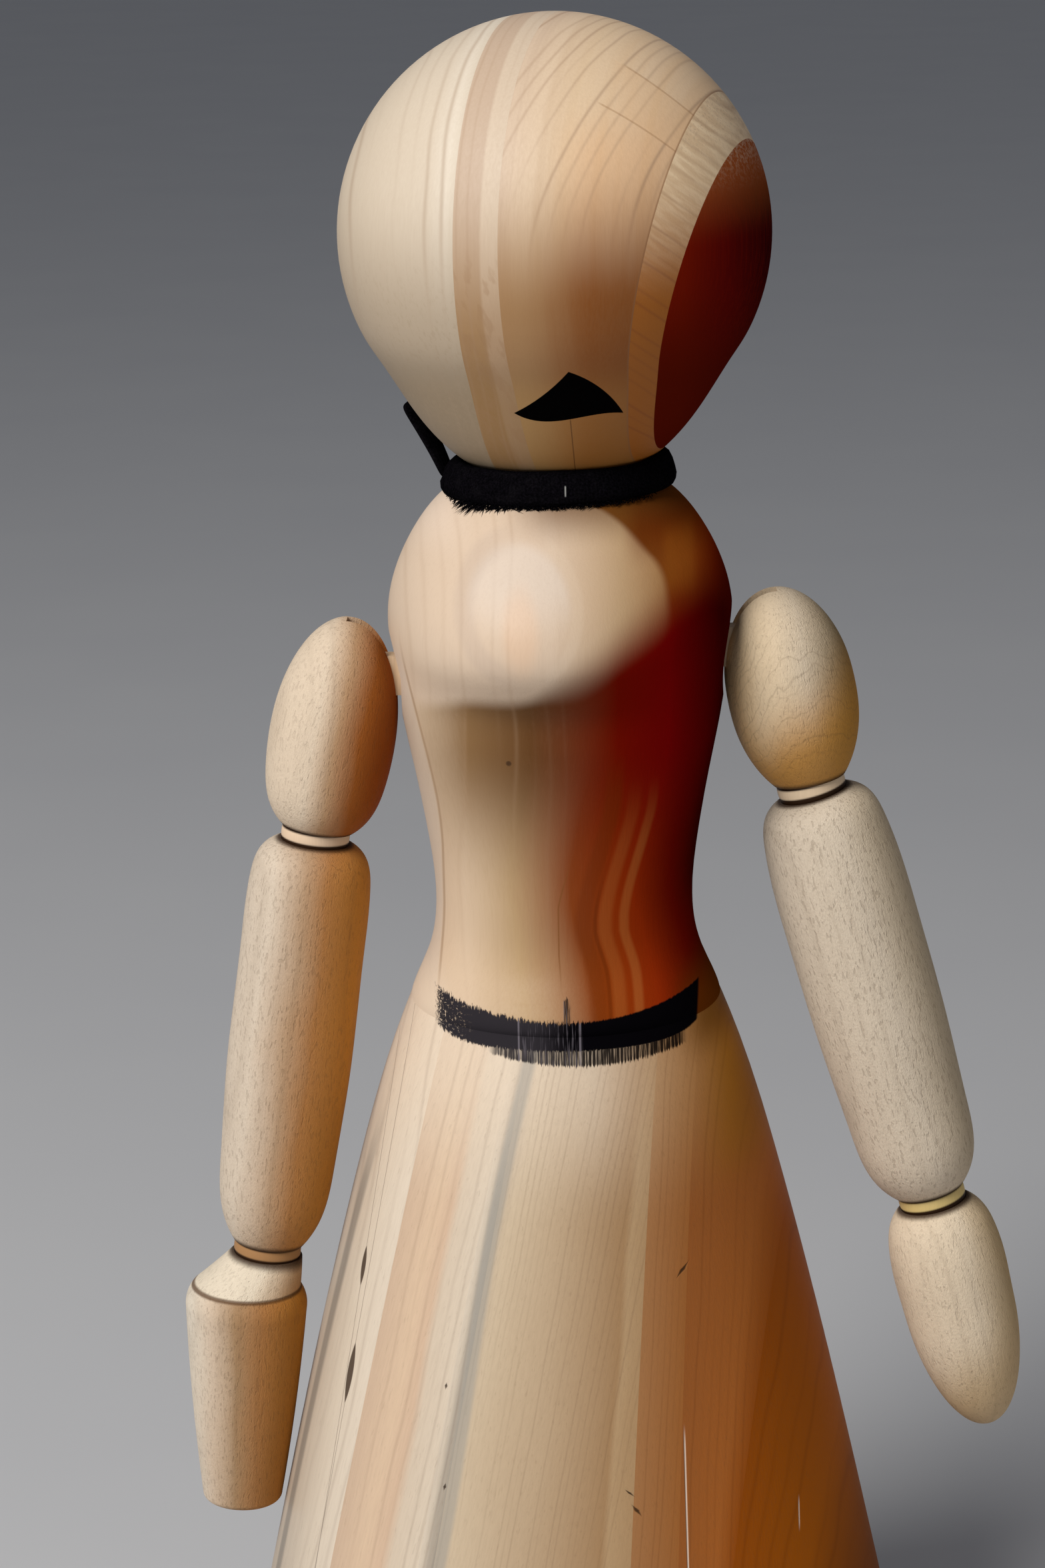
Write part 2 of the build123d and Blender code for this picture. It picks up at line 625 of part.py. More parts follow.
def shank_bore(frame):
    """The hollow that takes a ball, its tongue's shank and the keeper brad."""
    with BuildPart() as hollow:
        with Locations(frame):
            Sphere(BALL_R + RUN_GAP)
        with BuildSketch(frame.offset(-BALL_R + 1)):
            Circle(SHANK_R + RUN_GAP)
        extrude(amount=BALL_R - 1 - SHANK_END - PLAY)
        with BuildSketch(keeper_spot(frame)):
            Circle(SMALL_BRAD_R + GLUE_GAP)
        extrude(amount=2 * SHANK_END)
    return hollow.part


def forearm(arm, name):
    elbow = limb_plane(arm_point(arm, "elbow"), arm_point(arm, "wrist"))
    with BuildPart() as limb:
        add(barrel_shape(elbow, arm["forearm"]))
        add(shank_bore(elbow), mode=Mode.SUBTRACT)
        with Locations(arm_point(arm, "wrist")):
            Sphere(BALL_R + GLUE_GAP, mode=Mode.SUBTRACT)
    save(limb, f"{name}_forearm")
    keeper(elbow, f"{name}_forearm", arm["brad_back"][0])
    ball_joint(elbow, f"{name}_elbow")


def paddle_hand(arm, name):
    """One-piece hand: a long egg, narrow at the fingertips."""
    wrist = limb_plane(arm_point(arm, "wrist"), arm_point(arm, "tip"))
    with BuildPart() as hand:
        add(domed_egg(wrist, PADDLE_HAND, math.dist(arm["wrist"], arm["tip"]), -1))
        add(shank_bore(wrist), mode=Mode.SUBTRACT)
    save(hand, f"{name}_hand")
    keeper(wrist, f"{name}_hand", arm["brad_back"][1])
    ball_joint(wrist, f"{name}_wrist")


def barrel_hand(arm, name):
    """Two-piece hand: a domed cuff, set off centre, glued on a tapered barrel."""
    wrist = limb_plane(arm_point(arm, "wrist"), arm_point(arm, "tip"))
    seam = (CUFF_SEAM[0], 0, CUFF_SEAM[1])
    barrel_frame = limb_plane(seam, arm_point(arm, "tip"))
    length = math.dist(CUFF_SEAM, (arm["side"] * arm["tip"][0], arm["tip"][1]))
    with BuildPart() as barrel:
        with BuildSketch(front_plane(barrel_frame)):
            with BuildLine():
                Line((0, 0), (CUFF_SEAM_R, 0))
                ThreePointArc((CUFF_SEAM_R, 0), (9.8, -1.4), (BARREL_R, -4.0))
                ThreePointArc((BARREL_R, -4.0), (8.9, -19.0), (BARREL_END_R, BARREL_EDGE - length))
                RadiusArc((BARREL_END_R, BARREL_EDGE - length), (BARREL_END_R - BARREL_EDGE, -length),
                          BARREL_EDGE)
                Polyline((BARREL_END_R - BARREL_EDGE, -length), (0, -length), (0, 0))
            make_face()
        revolve(axis=limb_axis(barrel_frame))
        add(shank_bore(wrist), mode=Mode.SUBTRACT)
    save(barrel, f"{name}_hand_barrel")
    drop = wrist.offset(-CUFF_TOP_DROP)
    middle = Plane(origin=(drop.origin * 0.42 + Vector(*seam) * 0.58), x_dir=barrel_frame.x_dir,
                   z_dir=barrel_frame.z_dir)
    with BuildPart() as cuff:
        with BuildSketch(barrel_frame):
            Circle(CUFF_SEAM_R)
        with BuildSketch(middle):
            Circle(7.75)
        with BuildSketch(drop):
            Circle(RIM_R)
        loft()
        add(shank_bore(wrist), mode=Mode.SUBTRACT)
    save(cuff, f"{name}_hand_cuff")
    keeper(wrist, f"{name}_hand", arm["brad_back"][1])
    ball_joint(wrist, f"{name}_wrist")


def main():
    os.makedirs("parts", exist_ok=True)
    save_strips(skirt_block(), glue_planes(SKIRT_GLUE, GLUE_YAW, SKIRT_GLUE_Z), "skirt_strip")
    base_disc()
    base_screws()
    waist_screw()
    torso()
    shoulder_keepers()
    neck()
    collar()
    head()
    for name, arm in ARMS.items():
        shoulder(arm, name)
        upper_arm(arm, name)
        forearm(arm, name)
    barrel_hand(ARMS["right"], "right")
    paddle_hand(ARMS["left"], "left")


main()
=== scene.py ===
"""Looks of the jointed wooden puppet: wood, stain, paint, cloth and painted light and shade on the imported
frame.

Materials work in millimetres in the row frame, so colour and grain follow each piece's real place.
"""
import math
import random

import bpy
from mathutils import Matrix, Vector, noise as mnoise


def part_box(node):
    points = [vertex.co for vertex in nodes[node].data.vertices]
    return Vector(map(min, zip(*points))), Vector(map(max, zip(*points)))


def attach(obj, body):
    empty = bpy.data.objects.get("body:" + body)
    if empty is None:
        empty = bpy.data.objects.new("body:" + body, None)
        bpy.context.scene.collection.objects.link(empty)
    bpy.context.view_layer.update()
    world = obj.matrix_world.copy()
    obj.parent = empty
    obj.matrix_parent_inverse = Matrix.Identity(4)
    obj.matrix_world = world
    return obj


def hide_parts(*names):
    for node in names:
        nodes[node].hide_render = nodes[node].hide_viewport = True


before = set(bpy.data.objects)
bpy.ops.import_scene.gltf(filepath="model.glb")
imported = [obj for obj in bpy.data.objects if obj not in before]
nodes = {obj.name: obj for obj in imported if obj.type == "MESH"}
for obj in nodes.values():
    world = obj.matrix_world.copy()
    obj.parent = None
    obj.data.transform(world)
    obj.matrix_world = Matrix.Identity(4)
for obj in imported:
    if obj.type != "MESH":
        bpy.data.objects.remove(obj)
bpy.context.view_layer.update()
MM = 0.001


# Shader building -----------------------------------------------------------------------
class Value:
    """A number socket in a material, with arithmetic that adds nodes."""

    def __init__(self, net, socket):
        self.net = net
        self.socket = socket

    def _op(self, operation, *others):
        return self.net.calc(operation, self, *others)

    def __add__(self, other):
        return self._op("ADD", other)

    def __radd__(self, other):
        return self._op("ADD", other)

    def __sub__(self, other):
        return self._op("SUBTRACT", other)

    def __rsub__(self, other):
        return self.net.calc("SUBTRACT", other, self)

    def __mul__(self, other):
        return self._op("MULTIPLY", other)

    def __truediv__(self, other):
        return self._op("DIVIDE", other)

    def abs(self):
        return self._op("ABSOLUTE")

    def sin(self):
        return self._op("SINE")

    def power(self, other):
        return self._op("POWER", other)

    def low(self, other):
        return self._op("MINIMUM", other)

    def high(self, other):
        return self._op("MAXIMUM", other)

    def smooth(self, start, end):
        """0 at start and 1 at end, with soft ends; start may be above end."""
        return self.net.smooth(self, start, end)

    def near(self, centre, width):
        """1 at centre, falling to 0 at width away."""
        return (self - centre).abs().smooth(width, width * 0.35)


class Net:
    """One procedural material. x, y and z are millimetres in the row frame at rest."""

    def __init__(self, name):
        self.material = bpy.data.materials.new(name)
        self.material.use_nodes = True
        self.tree = self.material.node_tree
        self.shader = self.tree.nodes["Principled BSDF"]
        place = self.tree.nodes.new("ShaderNodeTexCoord").outputs["Object"]
        split = self.tree.nodes.new("ShaderNodeSeparateXYZ")
        self.tree.links.new(place, split.inputs[0])
        self.x, self.y, self.z = [Value(self, out) * 1000.0 for out in split.outputs]

    def feed(self, socket, value):
        if isinstance(value, Value):
            self.tree.links.new(value.socket, socket)
        elif isinstance(value, tuple) and len(value) == 3 and len(socket.default_value) == 4:
            socket.default_value = (*value, 1.0)
        else:
            socket.default_value = value

    def calc(self, operation, *values):
        node = self.tree.nodes.new("ShaderNodeMath")
        node.operation = operation
        for socket, value in zip(node.inputs, values):
            self.feed(socket, value)
        return Value(self, node.outputs[0])

    def smooth(self, value, start, end):
        node = self.tree.nodes.new("ShaderNodeMapRange")
        node.interpolation_type = "SMOOTHSTEP"
        for socket, entry in zip(node.inputs, (value, start, end, 0.0, 1.0)):
            self.feed(socket, entry)
        if not isinstance(start, Value) and not isinstance(end, Value) and start > end:
            for socket, entry in zip(node.inputs, (value, end, start, 1.0, 0.0)):
                self.feed(socket, entry)
        return Value(self, node.outputs[0])

    def vector(self, x, y, z):
        node = self.tree.nodes.new("ShaderNodeCombineXYZ")
        for socket, value in zip(node.inputs, (x, y, z)):
            self.feed(socket, value)
        return Value(self, node.outputs[0])

    def noise(self, x, y, z, detail=2.0, rough=0.5):
        """Smooth random value about 0.5; its features are about one unit across."""
        node = self.tree.nodes.new("ShaderNodeTexNoise")
        self.feed(node.inputs["Vector"], self.vector(x, y, z))
        node.inputs["Scale"].default_value = 1.0
        node.inputs["Detail"].default_value = detail
        node.inputs["Roughness"].default_value = rough
        return Value(self, node.outputs[0])

    def mix(self, share, first, second, blend="MIX"):
        node = self.tree.nodes.new("ShaderNodeMix")
        node.data_type = "RGBA"
        node.blend_type = blend
        for socket, value in zip((node.inputs[0], node.inputs[6], node.inputs[7]),
                                 (share, first, second)):
            self.feed(socket, value)
        return Value(self, node.outputs[2])

    def ramp(self, value, *stops):
        """Colour along value, from (place, colour) stops in order."""
        node = self.tree.nodes.new("ShaderNodeValToRGB")
        low, high = stops[0][0], stops[-1][0]
        self.feed(node.inputs[0], (value - low) / (high - low))
        elements = node.color_ramp.elements
        while len(elements) < len(stops):
            elements.new(0.5)
        for element, (place, colour) in zip(elements, stops):
            element.position = (place - low) / (high - low)
            element.color = (*colour, 1.0)
        return Value(self, node.outputs[0])

    def profile(self, value, *points):
        """A number that follows value smoothly through (place, number) points in order."""
        low, high = min(number for _, number in points), max(number for _, number in points)
        greys = [(place, ((number - low) / (high - low),) * 3) for place, number in points]
        curve = self.ramp(value, *greys)
        curve.socket.node.color_ramp.interpolation = "CARDINAL"
        return curve * (high - low) + low

    def done(self, colour, rough, height=None, depth=0.03, gloss=0.3):
        """Colour, roughness and a height map whose full range is depth millimetres."""
        self.feed(self.shader.inputs["Base Color"], colour)
        self.feed(self.shader.inputs["Roughness"], rough)
        self.feed(self.shader.inputs["Specular IOR Level"], gloss)
        if height is not None:
            bump = self.tree.nodes.new("ShaderNodeBump")
            bump.inputs["Distance"].default_value = depth * MM
            self.feed(bump.inputs["Height"], height)
            self.tree.links.new(bump.outputs[0], self.shader.inputs["Normal"])
        return self.material


def paint(node, material):
    """Give a CAD node one material on all its slots."""
    mesh = nodes[node].data
    if not mesh.materials:
        mesh.materials.append(material)
    for index in range(len(mesh.materials)):
        mesh.materials[index] = material


def glue(net, x, lean, yaw, height):
    """Distance in millimetres past a glue plane, towards +X."""
    return (net.x - x) - net.y * math.tan(math.radians(yaw)) - (net.z - height) * math.tan(
        math.radians(lean))


def fibres(net, across, depth, along, fine=1.0):
    """Faint streaks along the grain, about 0.5."""
    return net.noise(across * (2.6 * fine), depth * (2.6 * fine), along * 0.10, detail=4.0, rough=0.62)


def growth(net, across, along, spacing, wander=0.8, seed=0.0):
    """Thin late-wood lines, 1 on a line: irregular planes spacing millimetres apart."""
    drift = net.noise(across * 0.03 + seed, net.y * 0.03, along * 0.016, detail=2.0)
    place = across / spacing + drift * (wander * 6.0)
    strength = net.noise(place * 0.7, seed, along * 0.01, detail=1.0)
    wave = (place * (2 * math.pi)).sin() * 0.5 + 0.5
    return wave.power(6.0) * strength.smooth(0.38, 0.62)


# Painted belt, shared by the torso and the skirt ------------------------------------------
def belt(net, colour, rough):
    """Black brushed paint across the front of the waist; returns (colour, rough, mask)."""
    x, z = net.x, net.z
    bristle = net.noise(x * 2.8, 0.0, z * 0.45, detail=3.0, rough=0.75)
    strands = net.noise(x * 3.6, 2.0, z * 0.16, detail=2.0, rough=0.7)
    specks = net.noise(x * 2.6, 9.0, z * 2.0, detail=3.0, rough=0.75)
    dry = x.smooth(8.0, -2.0)                     # the brush was dry on the puppet's right
    ragged = (bristle - 0.5) * (dry * 2.6 + 0.5)
    sag = x * x / 190.0                           # the brush stroke dips in the middle
    top = sag + 144.4 + ragged
    bottom = (x.abs() / 22.0).power(8.0) * 2.3 + 139.9 - ragged * 0.7
    fringe = sag - x * 0.04 + 137.8 - (strands - 0.5) * 2.4
    right_end = (x + (specks - 0.5) * 5.0).smooth(-21.0, -20.3)
    ends = right_end * (x - (z - 144.0) * 0.1).smooth(21.3, 20.9)
    body = (z - bottom).smooth(-0.15, 0.15) * (z - top).smooth(0.15, -0.15) * ends
    gaps = specks.smooth(0.57, 0.64) * x.smooth(-14.5, -20.0)
    below = ((z - fringe).smooth(-0.15, 0.15) * (z - bottom).smooth(0.9, 0.4)
             * x.smooth(-13.0, -11.0) * x.smooth(19.2, 17.8))
    lower = below * (strands.smooth(0.38, 0.52) * 0.45 + 0.52)
    stroke = ((x + 0.1).abs().smooth(0.7, 0.35) * (z - 147.6 - (bristle - 0.5) * 3.0).smooth(0.2, -0.2)
              * (z - bottom).smooth(-0.3, 0.3) * strands.smooth(0.40, 0.52))
    mask = (body * (1.0 - gaps)).high(lower).high(stroke * 0.9) * net.y.smooth(2.0, -2.0)
    # glints: thin pale lines painted on the black as highlights, mixed below with the dry brush's grey
    glints = (x + 7.8).abs().smooth(0.22, 0.08).high((x - 1.9).abs().smooth(0.26, 0.08))
    brush_grey_and_glints = strands.smooth(0.50, 0.68) * x.smooth(2.6, 1.4) * x.smooth(-9.5, -7.5) * 0.55
    brush_grey_and_glints = (brush_grey_and_glints.high(glints * 0.8) * dry.smooth(0.1, 0.4)).high(x.smooth(1.0, -6.0) * 0.16)
    black = net.mix(brush_grey_and_glints, (0.0025, 0.002, 0.003), (0.17, 0.15, 0.17))
    return net.mix(mask, colour, black), rough + (0.5 - rough) * mask, mask


# Head ----------------------------------------------------------------------------------
HEAD_YAW, HEAD_Z = 17.0, 266.0
HEAD_GLUE = ((-6.3, 0.0), (1.2, 0.0), (22.6, 12.0), (27.8, 16.0))


def head_materials():
    """One material for each glued strip of the head, and the mouth's black."""
    def start(number):
        net = Net(f"head_{number}")
        edges = [glue(net, x, lean, HEAD_YAW, HEAD_Z) for x, lean in HEAD_GLUE]
        return net, edges

    # 1: pale, with long ring lines that run round the side of the head; painted shade darkens it towards the
    #    chin
    net, edges = start(1)
    rings = growth(net, edges[0] * 0.94 + net.z * 0.05, net.z, 3.1, wander=0.55, seed=3.0)
    fleck = net.noise(net.x * 1.5, net.y * 1.5, net.z * 0.9 + net.x * 0.3, detail=3.0, rough=0.6)
    grain = fibres(net, net.x, net.y, net.z)
    tone = net.ramp(edges[0], (-24.0, (0.64, 0.53, 0.40)), (-5.0, (0.69, 0.58, 0.45)),
                    (-1.5, (0.76, 0.66, 0.53)), (0.0, (0.70, 0.60, 0.47)))
    # painted shade: darker towards the underside of the head, darkest under the chin
    tone = net.mix(net.z.smooth(277.0, 253.0) * 0.85, tone, (0.44, 0.34, 0.235))
    tone = net.mix(net.z.smooth(254.0, 242.0) * 0.75, tone, (0.26, 0.185, 0.105))
    tone = net.mix(rings * (net.z.smooth(252.0, 275.0) * 0.42 + 0.12), tone, (0.44, 0.32, 0.22))
    tone = net.mix(fleck.smooth(0.5, 0.7) * net.z.smooth(272.0, 250.0) * 0.35, tone, (0.38, 0.28, 0.18))
    tone = net.mix((grain - 0.5) * 0.4 + 0.08, tone, (0.48, 0.36, 0.25))
    paint("head_strip_1", net.done(tone, fleck * 0.15 + 0.45, grain + rings * 0.4, 0.02))

    # 2: tan with a cream band along its far side; painted shade darkens it towards the chin
    net, edges = start(2)
    rings = growth(net, edges[0], net.z, 1.9, wander=0.3, seed=8.0)
    ray = net.noise(edges[0] * 0.42 - net.z * 0.10, net.y * 0.1, net.z * 0.30 + edges[0] * 0.5,
                    detail=2.0, rough=0.55)
    grain = fibres(net, net.x, net.y, net.z)
    band = edges[0].smooth(4.2, 4.9)
    tone = net.mix(band, (0.58, 0.43, 0.31), (0.68, 0.54, 0.40))
    # lower: the strip's colours darkened by painted shade towards the underside and under the chin
    lower = net.mix(band, (0.36, 0.20, 0.08), (0.44, 0.28, 0.16))
    tone = net.mix(net.z.smooth(277.0, 252.0) * 0.95, tone, lower)
    tone = net.mix(net.z.smooth(252.0, 242.0) * 0.5, tone, (0.28, 0.15, 0.045))
    tone = net.mix(rings * 0.3, tone, (0.40, 0.25, 0.15))
    tone = net.mix(ray.smooth(0.50, 0.62) * net.z.smooth(270.0, 260.0) * 0.35, tone, (0.34, 0.19, 0.09))
    tone = net.mix((grain - 0.5) * 0.4 + 0.06, tone, (0.40, 0.26, 0.15))
    paint("head_strip_2", net.done(tone, grain * 0.15 + 0.45, grain + ray * 0.3, 0.02))

    # 3: honey, arching lines near the crown, an end-jointed patch, a brown stain deepened by painted shade
    #    lower down, and painted shade under the chin
    net, edges = start(3)
    arch = edges[1] + (net.z - 262.0) * (net.z - 262.0) * net.z.smooth(262.0, 270.0) * -0.010
    rings = growth(net, arch, net.z, 2.3, wander=0.35, seed=1.0)
    stripes = net.noise(edges[1] * 0.45, 3.0, net.z * 0.012, detail=3.0)
    grain = fibres(net, net.x, net.y, net.z)
    tone = net.ramp(edges[1], (0.0, (0.62, 0.46, 0.33)), (10.0, (0.76, 0.56, 0.36)),
                    (19.0, (0.80, 0.56, 0.34)))
    tone = net.mix(stripes.smooth(0.35, 0.65) * 0.35, tone, (0.84, 0.66, 0.47))
    warm = edges[1].smooth(6.0, 14.0) * net.z.smooth(262.0, 274.0) * net.z.smooth(290.0, 280.0)
    tone = net.mix(warm * 0.5, tone, (0.80, 0.47, 0.24))
    tone = net.mix(rings * (net.z.smooth(262.0, 280.0) * 0.55 + 0.06), tone, (0.42, 0.27, 0.17))
    patch = net.z + net.x * 0.52 + (net.x - 7.0) * (net.x - 7.0) * 0.012
    line_low = (patch - 291.5).abs().smooth(0.20, 0.08) * net.x.smooth(6.2, 7.2)
    line_high = (patch - 298.7).abs().smooth(0.20, 0.08) * net.x.smooth(10.4, 11.4)
    between = (patch - 291.5).smooth(-0.1, 0.1) * (patch - 298.7).smooth(0.1, -0.1)
    inside = between * net.x.smooth(8.0, 12.0)
    tone = net.mix(inside * 0.35, tone, (0.80, 0.52, 0.29))
    # a brown stain towards +X, deepened lower down by painted shade
    right = (net.x + (stripes - 0.5) * 4.0).smooth(-6.0, 5.5)
    stain_and_shade = net.mix(right, (0.38, 0.21, 0.09), (0.26, 0.08, 0.01))
    sink = net.z + right * -2.0 + (stripes - 0.5) * 2.5
    tone = net.mix(sink.smooth(280.0, 257.0), tone, stain_and_shade)
    # painted shade under the chin
    chin_shade = net.mix(right, (0.40, 0.23, 0.08), (0.36, 0.15, 0.03))
    tone = net.mix(net.z.smooth(251.0, 241.0) * 0.8, tone, chin_shade)
    tone = net.mix(line_low.high(line_high) * net.y.smooth(0.0, -3.0) * 0.40, tone, (0.34, 0.17, 0.07))
    crack_x = net.x - 2.2 + (net.z - 235.0) * 0.08
    crack = crack_x.abs().smooth(0.11, 0.04) * net.z.smooth(240.6, 239.8) * net.y.smooth(0.0, -3.0)
    tone = net.mix(crack * 0.85, tone, (0.16, 0.06, 0.01))
    tone = net.mix((grain - 0.5) * 0.3 + 0.04, tone, (0.34, 0.19, 0.09))
    tone = net.mix(edges[2].smooth(-0.30, -0.10) * 0.6, tone, (0.26, 0.12, 0.05))
    paint("head_strip_3", net.done(tone, grain * 0.15 + 0.45, grain - crack * 3.0, 0.02))

    # 4: narrow, lighter, with grain that runs across it; lower down a brown stain deepened by painted shade
    net, edges = start(4)
    slant = net.z + net.x * 0.75
    rings = growth(net, slant, edges[2], 2.2, wander=0.5, seed=5.0)
    speck = net.noise(net.x * 2.6, net.y * 2.6, net.z * 2.2, detail=3.0, rough=0.7)
    grain = net.noise(slant * 1.2, net.y * 0.3, net.x * 0.25, detail=3.0)
    tone = net.mix(grain.smooth(0.35, 0.65), (0.78, 0.56, 0.34), (0.92, 0.70, 0.45))
    tone = net.mix(rings * 0.45, tone, (0.46, 0.29, 0.17))
    tone = net.mix(speck.smooth(0.5, 0.68) * net.z.smooth(276.0, 288.0) * 0.55, tone, (0.42, 0.30, 0.20))
    # lower: a brown stain with painted shade, darker towards the underside of the head
    lower = net.mix(rings * 0.5, (0.38, 0.12, 0.01), (0.26, 0.07, 0.01))
    tone = net.mix(net.z.smooth(280.0, 258.0), tone, lower)
    red = edges[3].smooth(-1.6, 0.0) * speck.smooth(0.42, 0.60) * net.z.smooth(280.0, 286.0)
    tone = net.mix(red * 0.8, tone, (0.22, 0.08, 0.04))
    paint("head_strip_4", net.done(tone, speck * 0.15 + 0.45, speck, 0.03))

    # 5: dark mahogany, fuzzy and paler at its upper end; painted shade takes it almost to black at its +X
    #    edge and lower down
    net, edges = start(5)
    grain = fibres(net, net.x, net.y, net.z)
    speck = net.noise(net.x * 1.7, net.y * 1.7, net.z * 1.5, detail=4.0, rough=0.75)
    # red wood that painted shade takes almost to black towards +X
    red = net.ramp(net.x, (19.0, (0.19, 0.01, 0.002)), (26.0, (0.13, 0.004, 0.003)),
                   (33.0, (0.03, 0.002, 0.003)))
    tone = net.mix(grain.smooth(0.44, 0.66) * 0.35, red, (0.20, 0.008, 0.002))
    tone = net.mix(net.z.smooth(266.0, 280.0), tone, (0.34, 0.085, 0.022))
    fuzz = speck.smooth(0.44, 0.62) * net.z.smooth(273.0, 286.0) * edges[3].smooth(9.0, 0.5)
    tone = net.mix(fuzz * 0.8, tone, (0.74, 0.55, 0.38))
    # painted shade: darker under the head
    tone = net.mix(net.z.smooth(262.0, 245.0) * 0.6, tone, (0.055, 0.006, 0.002))
    paint("head_strip_5", net.done(tone, grain * 0.2 + 0.42, grain + fuzz, 0.03, gloss=fuzz * 0.1))

    net = Net("mouth_black")
    grain = fibres(net, net.x, net.y, net.z)
    paint("mouth", net.done(net.mix(grain, (0.0008, 0.0007, 0.0007), (0.0022, 0.0018, 0.0018)),
                            grain * 0.2 + 0.5, grain, 0.02, gloss=0.0))


# Torso ---------------------------------------------------------------------------------
def torso_material():
    """Pale wood on the puppet's right that turns crimson on its left, with painted shade that takes it
    almost to black there, under the chest and beside the collar, and painted light on its right shoulder and
    by the waist.
    """
    net = Net("torso")
    x, y, z = net.x, net.y, net.z
    grain = fibres(net, x, y, z)
    rings = growth(net, x, z, 2.6, wander=0.5, seed=2.0)
    sway = net.profile(z, (140.0, 6.5), (151.0, 6.0), (160.0, 4.2), (175.0, 8.0), (186.0, 9.5))
    drift = net.profile(z, (140.0, 3.5), (154.0, 1.0), (166.0, -1.2), (188.0, 2.5))
    back = y.smooth(4.0, 26.0) * 5.0
    at = x - back - drift * x.smooth(-14.0, 0.0) + (grain - 0.5) * 1.2

    # the colours from side to side at the waist, under the chest, on it and past its edge: a crimson stain
    # with painted shade over it, darker towards +X and almost black at the edge, and a painted shadow under
    # the chest
    waist = net.ramp(at, (-16.0, (0.69, 0.52, 0.36)), (-8.0, (0.50, 0.33, 0.17)),
                     (2.0, (0.25, 0.05, 0.005)), (12.0, (0.33, 0.03, 0.003)),
                     (18.0, (0.16, 0.005, 0.001)), (22.0, (0.04, 0.002, 0.001)))
    ribs_shade = net.ramp(at, (-23.0, (0.58, 0.43, 0.29)), (-15.0, (0.24, 0.13, 0.05)),
                    (-7.0, (0.13, 0.05, 0.01)), (6.0, (0.19, 0.006, 0.001)),
                    (14.0, (0.24, 0.002, 0.002)), (23.0, (0.05, 0.001, 0.001)))
    chest = net.ramp(at, (-4.0, (0.69, 0.53, 0.39)), (7.0, (0.57, 0.38, 0.21)), (15.0, (0.50, 0.24, 0.08)))
    flank = net.ramp(at, (10.0, (0.19, 0.06, 0.01)), (18.0, (0.36, 0.08, 0.01)),
                     (22.0, (0.29, 0.03, 0.002)), (26.0, (0.12, 0.003, 0.001)))
    # crease: the chest's lower edge, below which the painted shadow under the chest lies
    crease = net.profile(x, (-26.0, 193.0), (-16.0, 196.0), (-4.0, 198.0), (7.0, 204.5),
                         (16.0, 210.5), (27.0, 214.0))
    spread = x.smooth(-6.0, 4.0) * 3.4 + 1.7 + y.smooth(-16.0, 0.0) * 8.0
    above = ((z - crease) / spread).smooth(-1.0, 1.0)
    arc = net.profile(z, (203.0, 15.5), (210.0, 16.5), (218.0, 14.0), (225.0, 6.5), (229.0, -3.0))
    outside = (x - arc).smooth(-0.8, 0.9) * y.smooth(12.0, 0.0).high(x.smooth(18.0, 24.0))
    tone = net.mix(z.smooth(189.0, 161.0), ribs_shade, waist)
    tone = net.mix(above, tone, net.mix(outside, chest, flank))
    rear = net.ramp(x, (-26.0, (0.60, 0.46, 0.33)), (-8.0, (0.66, 0.49, 0.34)),
                    (4.0, (0.56, 0.37, 0.22)), (14.0, (0.36, 0.12, 0.03)))
    tone = net.mix(y.smooth(2.0, 20.0) * x.smooth(14.0, 2.0) * 0.85, tone, rear)
    tone = net.mix(rings * x.smooth(4.0, -8.0) * 0.20, tone, (0.42, 0.27, 0.16))
    # painted light on the shoulder at -X, where the key light falls, and painted shade on the shoulder at +X
    # beside the collar
    shoulder = z.smooth(216.0, 224.0)
    tone = net.mix(shoulder * x.smooth(-12.0, -20.0) * 0.6, tone, (0.80, 0.64, 0.51))
    tone = net.mix(shoulder * x.smooth(9.0, 13.0) * 0.85, tone, (0.15, 0.02, 0.001))

    # chest: a pale oval with a pinker heart and a soft lilac edge
    front = y.smooth(-8.0, -15.0)
    oval = ((x + 6.6) * (x + 6.6) / 76.0 + (z - 211.5) * (z - 211.5) / 104.0).power(0.5)
    tone = net.mix(oval.smooth(1.02, 0.80) * z.smooth(207.0, 216.0) * front * 0.55, tone, (0.76, 0.65, 0.55))
    tone = net.mix(oval.near(0.97, 0.26) * x.smooth(-5.0, -12.0) * front * 0.26, tone, (0.48, 0.37, 0.30))
    tone = net.mix(oval.near(1.04, 0.14) * x.smooth(-5.0, 1.0) * front * 0.15, tone, (0.80, 0.66, 0.50))
    heart = ((x + 6.4) * (x + 6.4) / 12.0 + (z - 208.5) * (z - 208.5) / 60.0).power(0.5)
    tone = net.mix(heart.smooth(1.1, 0.4) * front * 0.35, tone, (0.78, 0.49, 0.30))
    amber = x.near(18.5, 3.4) * z.near(217.0, 6.0) * outside
    tone = net.mix(amber * 0.25, tone, (0.46, 0.15, 0.015))
    # painted shade under the collar
    tone = net.mix(z.smooth(219.5, 226.5) * x.smooth(-11.0, 0.0) * 0.75, tone, (0.13, 0.05, 0.01))

    # wavy brown and orange streaks beside the waist
    past = x - sway
    dark = past.near(-1.4, 2.0) * z.smooth(190.0, 178.0)
    pale = (past.near(2.0, 1.5) * 0.6).high(past.near(5.0, 1.1)) * z.smooth(184.0, 170.0)
    edge = (past - 0.4).abs().smooth(0.5, 0.1) * z.smooth(172.0, 160.0)
    tone = net.mix(dark * 0.45, tone, (0.17, 0.028, 0.003))
    tone = net.mix(pale * 0.32, tone, (0.56, 0.20, 0.045))
    tone = net.mix(edge * 0.45, tone, (0.12, 0.020, 0.002))

